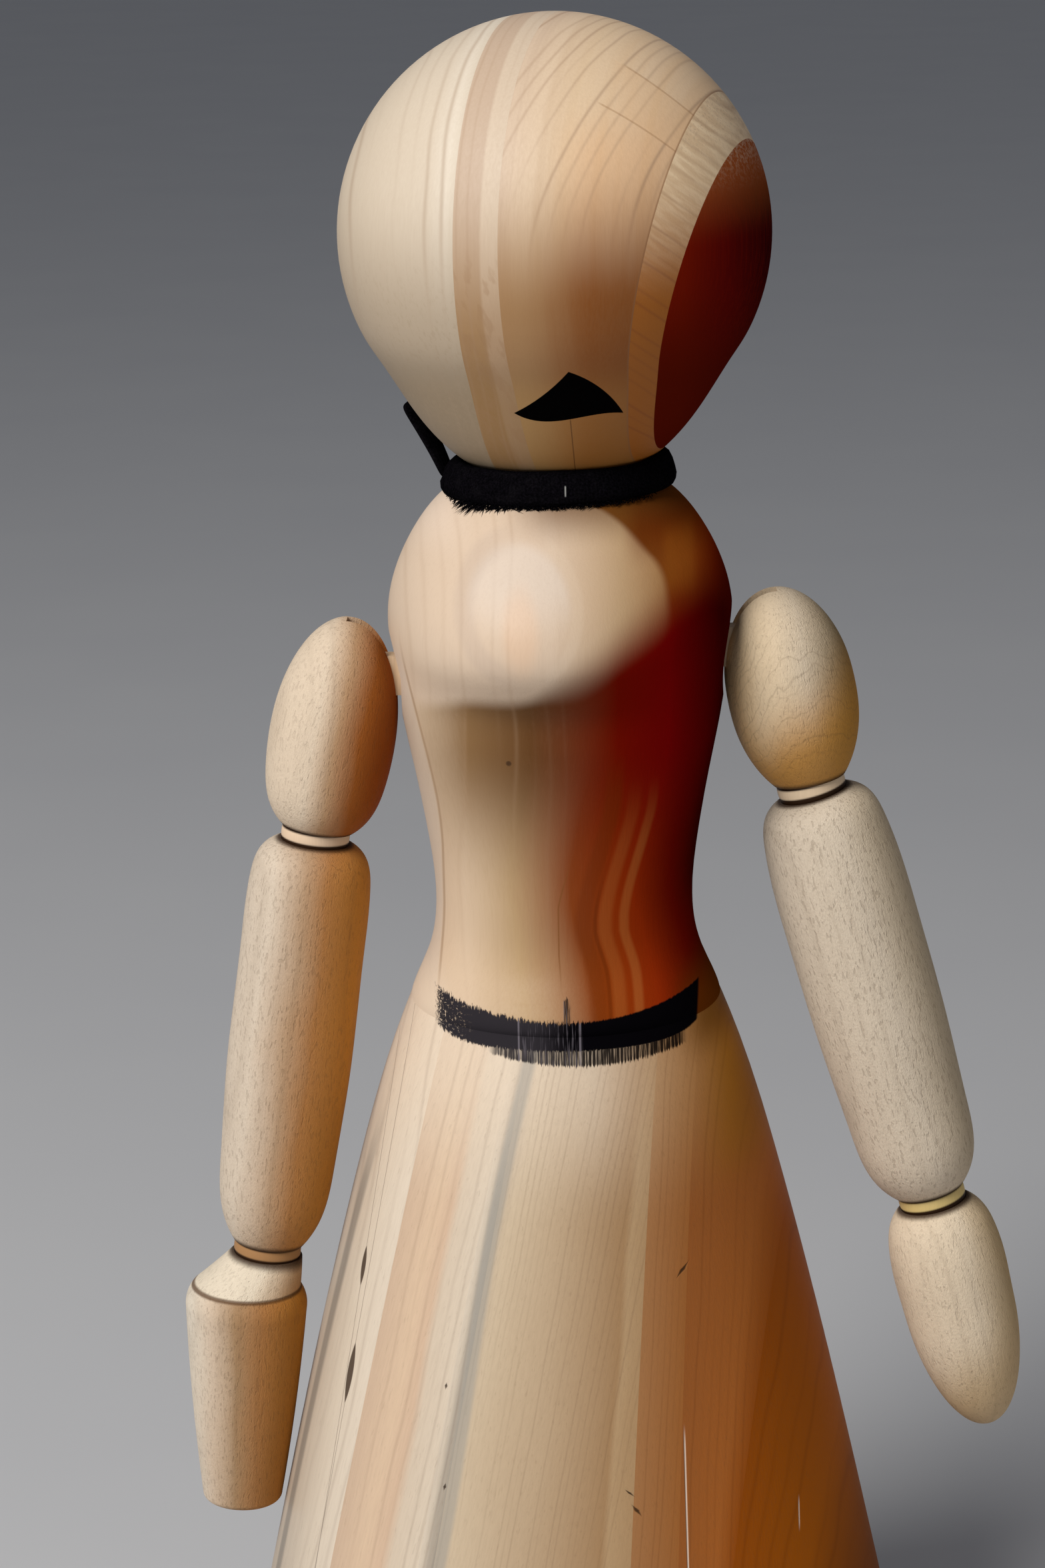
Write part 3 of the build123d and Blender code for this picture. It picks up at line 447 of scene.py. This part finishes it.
    # grey flank past a thin dark line, a fine split, and a small dark pore
    line_x = net.profile(z, (142.0, -21.0), (160.0, -19.4), (181.0, -20.6), (204.0, -25.5))
    rim = x - line_x
    side = z.smooth(206.0, 196.0) * z.smooth(142.0, 150.0) * y.smooth(14.0, -4.0)
    tone = net.mix(rim.smooth(0.0, -0.5) * side * 0.40, tone, (0.66, 0.56, 0.47))
    tone = net.mix(rim.abs().smooth(0.28, 0.08) * side * 0.55, tone, (0.34, 0.21, 0.12))
    split_x = net.profile(z, (148.0, -0.9), (162.0, -1.2), (171.0, 1.1))
    split = (x - split_x).abs().smooth(0.20, 0.05) * z.near(159.0, 12.0) * y.smooth(0.0, -4.0)
    tone = net.mix(split * 0.6, tone, (0.20, 0.07, 0.012))
    dot = ((x + 8.6) * (x + 8.6) + (z - 186.4) * (z - 186.4)).smooth(0.30, 0.05) * y.smooth(0.0, -4.0)
    tone = net.mix(dot * 0.85, tone, (0.05, 0.02, 0.005))
    tone = net.mix((grain - 0.5) * 0.3 * x.smooth(10.0, -6.0), tone, (0.30, 0.17, 0.08))
    # painted light near the waist at -X and painted shade near the waist at +X
    hem = z.smooth(153.0, 143.0)
    tone = net.mix(hem * x.smooth(-17.0, -22.0) * 0.8, tone, (0.77, 0.63, 0.48))
    tone = net.mix(hem * x.smooth(15.0, 21.0) * 0.8, tone, (0.14, 0.040, 0.003))
    tone, rough, mask = belt(net, tone, grain * 0.12 + 0.42)
    paint("torso", net.done(tone, rough, grain + mask * 1.5, 0.03,
                            gloss=x.smooth(9.0, -4.0) * (1.0 - mask) * 0.2))


# Skirt ---------------------------------------------------------------------------------
SKIRT_YAW, SKIRT_Z = 10.0, 70.0
SKIRT_GLUE = ((-31.6, 11.8), (-16.3, 9.9), (-13.7, 9.6), (16.8, 1.2), (23.9, 0.0), (33.3, 5.7))
# Colours across each strip, from 0 at its -X glue line to 1 at its +X one; strips 5 to 7 are partly amber
# wood and partly painted shade, darkest at strip 7's +X end
SKIRT_TONES = {
    1: ((0.0, (0.42, 0.34, 0.26)), (0.7, (0.74, 0.62, 0.48)), (1.0, (0.78, 0.66, 0.52))),
    2: ((0.0, (0.64, 0.46, 0.32)), (0.4, (0.73, 0.53, 0.36)), (0.6, (0.68, 0.48, 0.33)),
        (0.7, (0.70, 0.57, 0.43)), (1.0, (0.73, 0.61, 0.47))),
    3: ((0.0, (0.72, 0.61, 0.48)), (0.3, (0.64, 0.54, 0.42)), (0.6, (0.46, 0.39, 0.31)),
        (1.0, (0.42, 0.35, 0.27))),
    4: ((0.0, (0.54, 0.43, 0.31)), (0.1, (0.64, 0.50, 0.34)), (0.87, (0.42, 0.25, 0.12)),
        (0.91, (0.52, 0.34, 0.18)), (1.0, (0.48, 0.30, 0.15))),
    5: ((0.0, (0.42, 0.20, 0.08)), (1.0, (0.40, 0.15, 0.04))),
    6: ((0.0, (0.36, 0.12, 0.03)), (0.7, (0.48, 0.15, 0.03)), (1.0, (0.40, 0.10, 0.01))),
    7: ((0.0, (0.38, 0.09, 0.005)), (0.5, (0.46, 0.12, 0.004)), (1.0, (0.17, 0.04, 0.001))),
}
RING_SPACING = {1: 2.4, 2: 1.9, 3: 1.5, 4: 1.05, 5: 0.9, 6: 1.2, 7: 2.2}
# Narrow slits: (x, half width, z, half length, lean), and small nicks: (x, z, size, lean)
SLITS = ((-33.7, 0.30, 101.0, 3.2, 0.18), (-36.2, 0.42, 84.0, 5.0, 0.20))
NICKS = ((17.6, 105.3, 0.9, 0.9), (8.5, 72.3, 0.5, -1.2), (9.6, 69.5, 0.8, -0.8),
         (-20.3, 87.6, 0.45, 0.2), (-20.8, 72.0, 0.5, 0.3))


def skirt_marks(net, colour):
    """Slits, knots, a bright split and small scratches, with painted shade in the slits and nicks; returns
    (colour, depth).
    """
    x, z = net.x, net.z
    front = net.y.smooth(0.0, -4.0)
    holes = None
    for along, across, height, half, lean in SLITS:
        rise = (z - height) / half
        width = (1.0 - rise * rise).high(0.0) * across
        slit = ((x - along - (z - height) * lean).abs() - width).smooth(0.06, -0.06) * front
        holes = slit if holes is None else holes.high(slit)
    for along, height, size, lean in NICKS:
        rise = z - height
        nick = ((x - along - rise * lean).abs() * 2.4 + rise.abs()).smooth(size * 1.5, size * 0.4)
        holes = holes.high(nick * front)
    # the near-black in the slits and nicks is painted shade
    colour = net.mix(holes * 0.92, colour, (0.05, 0.025, 0.012))
    split_x = x - 17.6 + (z - 60.0) * 0.012
    split = split_x.abs().smooth(0.22, 0.05) * z.smooth(82.0, 78.0) * front
    scratch = (x - 36.2).abs().smooth(0.16, 0.05) * z.near(62.0, 3.0) * front
    bright = split.high(scratch)
    colour = net.mix(bright * 0.8, colour, (0.92, 0.76, 0.62))
    return colour, holes.high(bright * 0.6)


def skirt_materials():
    """One material for each glued strip of the skirt."""
    for number in range(1, 8):
        net = Net(f"skirt_{number}")
        x, y, z = net.x, net.y, net.z
        edges = [glue(net, at, lean, SKIRT_YAW, SKIRT_Z) for at, lean in SKIRT_GLUE]
        if number == 1:
            across = edges[0]
            share = 1.0 + edges[0] / 18.0
        elif number == 7:
            across = edges[5]
            share = edges[5] / 24.0
        else:
            across = edges[number - 2]
            share = across / (edges[number - 2] - edges[number - 1])
        bend = (net.noise(across * 0.06, y * 0.04, z * 0.020, detail=2.0) - 0.5) * 0.20
        tone = net.ramp((share + bend * (0.0 if number == 3 else 1.0)).high(0.0).low(1.0),
                        *SKIRT_TONES[number])
        rings = growth(net, across, z, RING_SPACING[number], wander=0.5, seed=float(number))
        grain = fibres(net, across, y, z)
        pores = net.noise(across * 3.0, y * 3.0, z * 0.35, detail=2.0, rough=0.6)
        # painted light near the top of the skirt, turning to painted shade towards +X
        top = net.ramp(x, (4.0, (0.81, 0.66, 0.50)), (14.0, (0.62, 0.39, 0.21)),
                       (26.0, (0.52, 0.21, 0.02)), (33.0, (0.20, 0.06, 0.002)))
        tone = net.mix(z.smooth(112.0, 138.0) * 0.72, tone, top)
        tone = net.mix(rings * 0.34, tone, net.mix(0.45, tone, (0.16, 0.06, 0.02), "MULTIPLY"))
        tone = net.mix((grain - 0.5) * 0.45 + 0.05, tone, net.mix(0.6, tone, (0.18, 0.10, 0.05)))
        tone = net.mix(pores.smooth(0.60, 0.72) * 0.20, tone, net.mix(0.7, tone, (0.16, 0.08, 0.03)))
        # painted shade under the waist at +X
        tone = net.mix(z.smooth(134.0, 141.0) * x.smooth(16.0, 23.0) * 0.75, tone, (0.17, 0.06, 0.003))
        if number >= 6:
            # painted shade on the upper +X side of strips 6 and 7
            olive_shade = z.near(128.0, 14.0) * x.smooth(19.0, 28.0)
            tone = net.mix(olive_shade * 0.25, tone, (0.36, 0.17, 0.006))
        if number in (3, 4):
            blue = edges[2] + (z * 0.07).sin() * 0.6
            tone = net.mix(blue.near(0.4, 1.6) * 0.55, tone, (0.36, 0.34, 0.30))
        tone = net.mix(y.smooth(4.0, 30.0) * x.smooth(30.0, 4.0) * 0.6, tone, (0.60, 0.44, 0.29))
        if number <= 2:
            rim = y.near(-9.0, 2.6) * z.smooth(128.0, 108.0) * x.smooth(-14.0, -24.0)
            tone = net.mix(rim * 0.6, tone, (0.17, 0.15, 0.13))
        tone, depth = skirt_marks(net, tone)
        rough = grain * 0.15 + 0.36
        tone, rough, mask = belt(net, tone, rough)
        gloss = (1.0 - mask) * (0.2 if number < 5 else 0.02)
        paint(f"skirt_strip_{number}",
              net.done(tone, rough, grain + mask * 1.5 - depth * 6.0, 0.03, gloss=gloss))


# Arms ----------------------------------------------------------------------------------
# (x, z) at rest of the joints' centres, the seam in the right hand and the limbs' free ends
RIGHT_ELBOW, RIGHT_WRIST = (-40.2, 169.3), (-50.3, 98.2)
LEFT_ELBOW, LEFT_WRIST = (40.2, 176.1), (60.3, 105.3)
RIGHT_APEX, LEFT_APEX = (-33.2, 205.0), (33.6, 208.6)
RIGHT_TIP, LEFT_TIP = (-56.0, 53.2), (70.2, 65.0)
SEAM = (-54.0, 91.6)


def limb_axis(low, high):
    """Unit direction, (x, z), from one (x, z) point to another."""
    return tuple((Vector(high) - Vector(low)).normalized())


def beech(name, axis_low, axis_high, tones, sockets=(), foot=None, fleck=0.5, wavy=False):
    """Beech with short dark flecks along a limb whose axis runs between two (x, z) points.

    Tones run across the limb, from (millimetres towards +X, colour) stops, lit at -X and in painted shade at
    +X.
    Sockets are the (x, z) centres of the balls it meets, darkened there by painted shade, and foot is the
    colour that its lower end shades to.
    """
    net = Net(name)
    axis_x, axis_z = limb_axis(axis_low, axis_high)
    from_x, from_z = net.x - axis_low[0], net.z - axis_low[1]
    along = from_x * axis_x + from_z * axis_z
    across = from_x * axis_z - from_z * axis_x
    deep = net.y
    grain = fibres(net, across, deep, along)
    patch = net.noise(across * 0.12, deep * 0.12, along * 0.05, detail=2.0)
    tone = net.ramp(across + (patch - 0.5) * 3.0 - deep.smooth(0.0, 9.0) * 5.0, *tones)
    if foot:
        tone = net.mix((along - across * 0.6 + (patch - 0.5) * 4.0).smooth(21.0, 6.0) * 0.92, tone, foot)
    dim = net.mix(0.62, tone, (0.16, 0.09, 0.04))
    if wavy:
        swirl = net.noise(across * 0.2, deep * 0.2, along * 0.1)
        ripple = along + (across - 3.0) * (across - 3.0) * 0.07 + swirl * 7.0
        rings = growth(net, ripple, across, 1.25, wander=0.5, seed=4.0)
        tone = net.mix(rings * along.smooth(32.0, 24.0) * 0.36, tone, dim)
    else:
        rings = growth(net, across + deep * 0.4, along, 3.4, wander=0.5, seed=6.0)
        tone = net.mix(rings * 0.18, tone, dim)
    spots = net.noise(across * 2.4, deep * 2.4, along * 0.62, detail=1.5, rough=0.5)
    marks = spots.smooth(0.58, 0.67)
    fuzz = net.noise(across * 4.5, deep * 4.5, along * 2.0, detail=3.0, rough=0.7)
    tone = net.mix(marks * fleck * 0.55, tone, dim)
    tone = net.mix((fuzz - 0.5).high(0.0) * fleck * 2.6, tone, dim)
    tone = net.mix((grain - 0.5) * 0.35 + 0.04, tone, dim)
    # painted shade where the limb meets a ball
    for at_x, at_z in sockets:                    # dark where the limb meets a ball
        off_x, off_z = net.x - at_x, net.z - at_z
        reach = (off_x * off_x + net.y * net.y + off_z * off_z).power(0.5)
        tone = net.mix(reach.smooth(7.1, 6.0) * 0.92, tone, (0.045, 0.018, 0.006))
    # painted shade in the seam between barrel and cuff
    if SEAM in (axis_low, axis_high):             # the dark line between barrel and cuff
        seam = (net.x - SEAM[0]) * 0.052 + (net.z - SEAM[1])
        tone = net.mix(seam.abs().smooth(0.5, 0.12) * 0.85, tone, (0.12, 0.055, 0.02))
    return net.done(tone, fuzz * 0.2 + 0.48, fuzz * 1.6 - marks * 0.6 + grain, 0.09,
                    gloss=across.smooth(6.0, 0.0) * 0.16 + 0.04)


def arm_materials():
    """Beech for each limb, and the turned balls of the elbows and wrists."""
    # each ramp is the limb's beech with painted light at -X and painted shade at +X; the left egg's pale -X
    # end is painted light where the torso's shadow falls
    egg = ((-3.0, (0.77, 0.62, 0.46)), (1.0, (0.50, 0.30, 0.16)), (5.0, (0.36, 0.11, 0.02)),
           (9.5, (0.30, 0.06, 0.005)))
    warm = ((-6.0, (0.75, 0.62, 0.48)), (-0.5, (0.53, 0.34, 0.20)), (3.5, (0.49, 0.22, 0.07)),
            (9.0, (0.58, 0.24, 0.04)))
    barrel = ((-9.0, (0.86, 0.75, 0.60)), (-5.0, (0.72, 0.56, 0.41)), (-1.0, (0.44, 0.27, 0.14)),
              (3.0, (0.46, 0.21, 0.07)), (9.0, (0.52, 0.21, 0.03)))
    cuff = ((1.0, (0.86, 0.74, 0.57)), (9.0, (0.52, 0.24, 0.06)))
    left_egg = ((-9.0, (0.90, 0.62, 0.32)), (-5.0, (0.84, 0.65, 0.42)), (3.0, (0.72, 0.59, 0.43)),
                (10.0, (0.28, 0.19, 0.08)))
    grey = ((3.0, (0.77, 0.65, 0.50)), (9.0, (0.64, 0.52, 0.36)))
    paddle = ((3.0, (0.85, 0.70, 0.51)), (9.0, (0.60, 0.42, 0.21)))
    amber, tan = (0.56, 0.26, 0.04), (0.66, 0.47, 0.26)
    paint("right_upper_arm", beech("right_egg", RIGHT_ELBOW, RIGHT_APEX, egg, [RIGHT_ELBOW], fleck=0.30))
    paint("right_forearm", beech("right_forearm", RIGHT_WRIST, RIGHT_ELBOW, warm,
                                 [RIGHT_WRIST, RIGHT_ELBOW], fleck=0.60))
    paint("right_hand_barrel", beech("right_barrel", RIGHT_TIP, SEAM, barrel, fleck=0.50))
    paint("right_hand_cuff", beech("right_cuff", SEAM, RIGHT_WRIST, cuff, [RIGHT_WRIST], fleck=0.25))
    paint("left_upper_arm", beech("left_egg", LEFT_ELBOW, LEFT_APEX, left_egg, [LEFT_ELBOW], amber,
                                  fleck=0.15, wavy=True))
    paint("left_forearm", beech("left_forearm", LEFT_WRIST, LEFT_ELBOW, grey,
                                [LEFT_WRIST, LEFT_ELBOW], fleck=0.65))
    paint("left_hand", beech("left_hand", LEFT_TIP, LEFT_WRIST, paddle, [LEFT_WRIST], tan, fleck=0.30))
    # the balls show as turned rings, with painted shade where they run into the limbs
    right, left = limb_axis(RIGHT_WRIST, RIGHT_ELBOW), limb_axis(LEFT_WRIST, LEFT_ELBOW)
    balls = (("right_elbow", RIGHT_ELBOW, right, (0.80, 0.60, 0.42)),
             ("right_wrist", RIGHT_WRIST, right, (0.42, 0.22, 0.09)),
             ("left_elbow", LEFT_ELBOW, left, (0.86, 0.67, 0.46)),
             ("left_wrist", LEFT_WRIST, left, (0.84, 0.64, 0.26)))
    for joint, centre, axis, colour in balls:
        net = Net(f"{joint}_ball")
        along = (net.x - centre[0]) * axis[0] + (net.z - centre[1]) * axis[1]
        grain = fibres(net, net.x, net.y, net.z, 1.4)
        tone = net.mix((grain - 0.5) * 0.5 + 0.1, colour, net.mix(0.5, colour, (0.30, 0.17, 0.08)))
        # painted shade at both ends of the visible ring
        tone = net.mix((along - 0.15).abs().smooth(0.55, 0.95), tone, (0.030, 0.012, 0.004))
        paint(f"{joint}_ball", net.done(tone, grain * 0.2 + 0.4, grain, 0.02, gloss=0.15))


def small_materials():
    """Steel, plywood and plain inner wood for the pieces that hold the puppet together."""
    net = Net("steel")
    brush = net.noise(net.x * 2.0, net.y * 2.0, net.z * 9.0, detail=3.0, rough=0.7)
    net.shader.inputs["Metallic"].default_value = 1.0
    tone = net.mix(brush, (0.42, 0.42, 0.44), (0.62, 0.62, 0.64))
    steel = net.done(tone, brush * 0.2 + 0.28, brush, 0.01)

    net = Net("plywood")
    layers = (net.z * (2 * math.pi / 1.5)).sin() * 0.5 + 0.5
    swirl = growth(net, net.x + (net.y * 0.07).sin() * 6.0, net.y, 5.0, wander=0.8, seed=9.0)
    grain = net.noise(net.x * 2.4, net.y * 0.10, net.z * 0.5, detail=4.0, rough=0.6)
    tone = net.mix(grain.smooth(0.3, 0.7), (0.64, 0.48, 0.31), (0.74, 0.58, 0.40))
    tone = net.mix(swirl * 0.4, tone, (0.48, 0.32, 0.18))
    tone = net.mix(layers.smooth(0.7, 0.9) * 0.3, tone, (0.40, 0.26, 0.15))
    plywood = net.done(tone, grain * 0.2 + 0.5, grain, 0.04)

    net = Net("inner_wood")
    grain = fibres(net, net.x, net.y, net.z)
    rings = growth(net, net.x, net.z, 1.8, wander=0.4, seed=3.0)
    tone = net.mix(grain.smooth(0.3, 0.7), (0.62, 0.44, 0.27), (0.70, 0.52, 0.34))
    tone = net.mix(rings * 0.3, tone, (0.42, 0.27, 0.15))
    inner = net.done(tone, grain * 0.2 + 0.45, grain, 0.03)

    metal = ("_pin", "_tongue", "_keeper", "_keepers", "_screw", "_screws", "waist_washer")
    for name in nodes:
        if name == "base_disc":
            paint(name, plywood)
        elif name == "neck_dowel" or name.endswith("_knuckle"):
            paint(name, inner)
        elif name.endswith(metal):
            paint(name, steel)
        elif name == "neck_washer":
            paint(name, cloth())


def cloth():
    """Soft black woven ribbon, a little worn and grey where it rubs."""
    net = Net("black_cloth")
    turn = net.calc("ARCTAN2", net.x, net.y)
    weave = (turn * 170.0).sin() * 0.5 + 0.5
    rows = (net.z * 9.0).sin() * 0.5 + 0.5
    fuzz = net.noise(net.x * 3.0, net.y * 3.0, net.z * 3.0, detail=4.0, rough=0.75)
    worn = net.noise(net.x * 0.5, net.y * 0.5, net.z * 0.5, detail=2.0).smooth(0.5, 0.75)
    tone = net.mix(fuzz.smooth(0.35, 0.75), (0.0012, 0.0011, 0.0014), (0.006, 0.005, 0.007))
    tone = net.mix(worn * 0.15, tone, (0.012, 0.011, 0.012))
    thread = (net.x - 0.9).abs().smooth(0.16, 0.06) * (net.z - 228.2).abs().smooth(0.9, 0.6)
    tone = net.mix(thread * net.y.smooth(0.0, -4.0) * 0.6, tone, (0.45, 0.45, 0.42))
    return net.done(tone, fuzz * 0.2 + 0.75, weave * 0.5 + rows * 0.5 + fuzz, 0.06, gloss=0.0)


# Collar ----------------------------------------------------------------------------------
def new_piece(name, verts, faces, material, body):
    """A modelled piece that rides on a body, with one material in a named slot."""
    mesh = bpy.data.meshes.new(name)
    mesh.from_pydata(verts, [], faces)
    mesh.update()
    mesh.materials.append(material)
    for polygon in mesh.polygons:
        polygon.use_smooth = True
    piece = bpy.data.objects.new(name, mesh)
    bpy.context.scene.collection.objects.link(piece)
    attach(piece, body)
    return piece


HEAD_BASE_Z, HEAD_BASE_R = 229.1, 11.0            # the flat underside of the head


def collar():
    """A folded ribbon drawn round the neck, with its tied end standing up at the back right."""
    fabric = cloth()
    low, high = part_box("collar")
    outer = high.x / MM
    base = low.z / MM
    steps, ring = 160, 18
    thick, tall = 1.75, 2.75                          # half the band's thickness and height
    verts, faces = [], []
    for i in range(steps):
        turn = 2 * math.pi * i / steps                 # 0 at the front, positive towards +X
        tilt = math.sin(turn) * 0.55
        for j in range(ring):
            around = 2 * math.pi * j / ring
            radius = outer - 1.95 + math.cos(around) * thick
            height = base + tall + tilt + math.sin(around) * tall
            radius -= (height - base - 2.6) * 0.30
            place = Vector((math.sin(turn) * 9, math.cos(turn) * 9, math.sin(around) * 1.6))
            fold = mnoise.noise(place * 0.55) * 0.32 + mnoise.noise(place * 1.7 + Vector((5, 1, 2))) * 0.12
            crease = -0.16 * math.exp(-((math.sin(around) - 0.15) / 0.18) ** 2)
            radius += (fold + crease) * max(math.cos(around), 0.0)
            bulge = math.exp(-((turn - 1.4) / 0.35) ** 2)
            radius += bulge * 0.5
            height += bulge * max(math.sin(around), 0.0) * 1.3
            past_flat = radius - HEAD_BASE_R
            under_head = HEAD_BASE_Z + past_flat * 0.12 + past_flat ** 2 * 0.065
            height = min(height, under_head - 0.25)    # the band stays clear of the turning head
            verts.append((math.sin(turn) * radius * MM, -math.cos(turn) * radius * MM, height * MM))
    for i in range(steps):
        for j in range(ring):
            a, b = i * ring + j, i * ring + (j + 1) % ring
            c, d = ((i + 1) % steps) * ring + (j + 1) % ring, ((i + 1) % steps) * ring + j
            faces.append((a, d, c, b))
    band = new_piece("collar_band", verts, faces, fabric, "trunk")
    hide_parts("collar")

    # the tied end: a narrow ribbon that rises, curls and ends in a slanted cut
    turn = math.radians(24)
    out = Vector((-math.cos(turn), math.sin(turn), 0))
    side = out.cross(Vector((0, 0, 1)))
    path = [(18.4, 226.4), (19.4, 228.6), (20.6, 231.0), (22.2, 233.8), (23.9, 236.6), (25.2, 238.9)]
    verts, faces = [], []
    for i, (radius, height) in enumerate(path):
        share = i / (len(path) - 1)
        half = 2.2 + 0.7 * share
        for j in range(5):
            off = (j / 2 - 1) * half
            curl = 0.5 * (j / 2 - 1) ** 2
            lift = 0.9 * (j / 2 - 1) * share
            point = out * (radius + curl) + side * off + Vector((0, 0, height + lift))
            verts.append(tuple(point * MM))
    for i in range(len(path) - 1):
        for j in range(4):
            a = i * 5 + j
            faces.append((a, a + 1, a + 6, a + 5))
    tail = new_piece("collar_end", verts, faces, fabric, "trunk")
    solid = tail.modifiers.new("thickness", "SOLIDIFY")
    solid.thickness = 0.9 * MM
    smooth = tail.modifiers.new("smooth", "SUBSURF")
    smooth.levels = smooth.render_levels = 2
    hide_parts("collar_tail")
    return fabric


def fuzz(fabric):
    """Loose fibres along the collar's lower edge, thickest at the front right."""
    rng = random.Random(7)
    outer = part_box("collar")[1].x / MM
    verts, faces = [], []

    def fibre(root, tip, width):
        start, along = Vector(root), Vector(tip) - Vector(root)
        side = along.cross(Vector((0.3, 0.2, 1))).normalized() * width
        other = along.cross(side).normalized() * width
        first = len(verts)
        middle = start + along * 0.55 + Vector((rng.gauss(0, 0.08), rng.gauss(0, 0.08), 0.0))
        for centre, size in ((start, 1.0), (middle, 0.8)):
            for offset in (side, other * 0.87 - side * 0.5, -other * 0.87 - side * 0.5):
                verts.append(tuple((centre + offset * size) * MM))
        verts.append(tuple(Vector(tip) * MM))
        for k in range(3):
            n = (k + 1) % 3
            faces.append((first + k, first + n, first + 3 + n, first + 3 + k))
            faces.append((first + 3 + k, first + 3 + n, first + 6))
        faces.append((first + 2, first + 1, first))

    for _ in range(900):
        turn = math.radians(rng.triangular(-78, 60, -48))
        thick = max(0.0, 1 - abs(math.degrees(turn) + 46) / 26)
        reach = rng.uniform(0.25, 0.7) + thick * rng.uniform(0.3, 2.3)
        root_r = outer - rng.uniform(0.2, 0.9)
        root_z = 226.1 - rng.uniform(0.0, 0.6) + math.sin(turn) * 0.5
        drift = math.radians(rng.gauss(-3 * thick, 2.5))
        tip_r = root_r + reach * 0.75
        tip_z = root_z - reach * 0.75
        fibre((math.sin(turn) * root_r, -math.cos(turn) * root_r, root_z),
              (math.sin(turn + drift) * tip_r, -math.cos(turn + drift) * tip_r, tip_z),
              rng.uniform(0.05, 0.11))
    new_piece("collar_fuzz", verts, faces, fabric, "trunk")


# Stage -----------------------------------------------------------------------------------
def stage():
    """A plain pale floor, a dim even sky, a soft key light and a weak warm fill."""
    scene = bpy.context.scene
    scene.view_settings.view_transform = "Standard"
    floor = Net("floor")
    cloudy = floor.noise(floor.x * 0.01, floor.y * 0.01, 0.0, detail=2.0)
    plain = floor.done(floor.mix(cloudy, (0.60, 0.60, 0.61), (0.64, 0.64, 0.64)), 0.75)
    size = 6.0
    mesh = bpy.data.meshes.new("floor")
    mesh.from_pydata([(-size, -size, 0), (size, -size, 0), (size, size, 0), (-size, size, 0)], [],
                     [(0, 1, 2, 3)])
    mesh.materials.append(plain)
    ground = bpy.data.objects.new("floor", mesh)
    scene.collection.objects.link(ground)

    world = bpy.data.worlds.new("studio")
    scene.world = world
    world.use_nodes = True
    world.node_tree.nodes["Background"].inputs[0].default_value = (0.86, 0.90, 1.0, 1.0)
    world.node_tree.nodes["Background"].inputs[1].default_value = 0.16

    def lamp(name, place, target, size, power, colour):
        data = bpy.data.lights.new(name, "AREA")
        data.shape = "DISK"
        data.size = size
        data.energy = power
        data.color = colour
        light = bpy.data.objects.new(name, data)
        light.location = place
        light.rotation_mode = "QUATERNION"
        light.rotation_quaternion = (Vector(target) - Vector(place)).to_track_quat("-Z", "Y")
        scene.collection.objects.link(light)

    lamp("key", (-0.70, -0.80, 1.12), (0.0, 0.0, 0.17), 0.7, 19.5, (1.0, 0.985, 0.965))
    lamp("fill", (0.95, -0.55, 0.35), (0.0, 0.0, 0.15), 0.8, 0.6, (1.0, 0.82, 0.64))


def camera():
    """Eye level a little above the head, 0.64 m away, with the picture rolled by a degree."""
    scene = bpy.context.scene
    data = bpy.data.cameras.new("camera")
    data.sensor_width = 36.0
    data.lens = 93.33
    shot = bpy.data.objects.new("camera", data)
    pitch, roll = math.radians(14.5), math.radians(1.0)
    across, upward = Vector((1, 0, 0)), Vector((0, math.sin(pitch), math.cos(pitch)))
    right = across * math.cos(roll) - upward * math.sin(roll)
    up = across * math.sin(roll) + upward * math.cos(roll)
    turn = Matrix((right, up, right.cross(up))).transposed()
    shot.matrix_world = Matrix.Translation((-0.0065, -0.637, 0.3417)) @ turn.to_4x4()
    scene.collection.objects.link(shot)
    scene.camera = shot


head_materials()
torso_material()
skirt_materials()
arm_materials()
small_materials()
fuzz(collar())
stage()
camera()
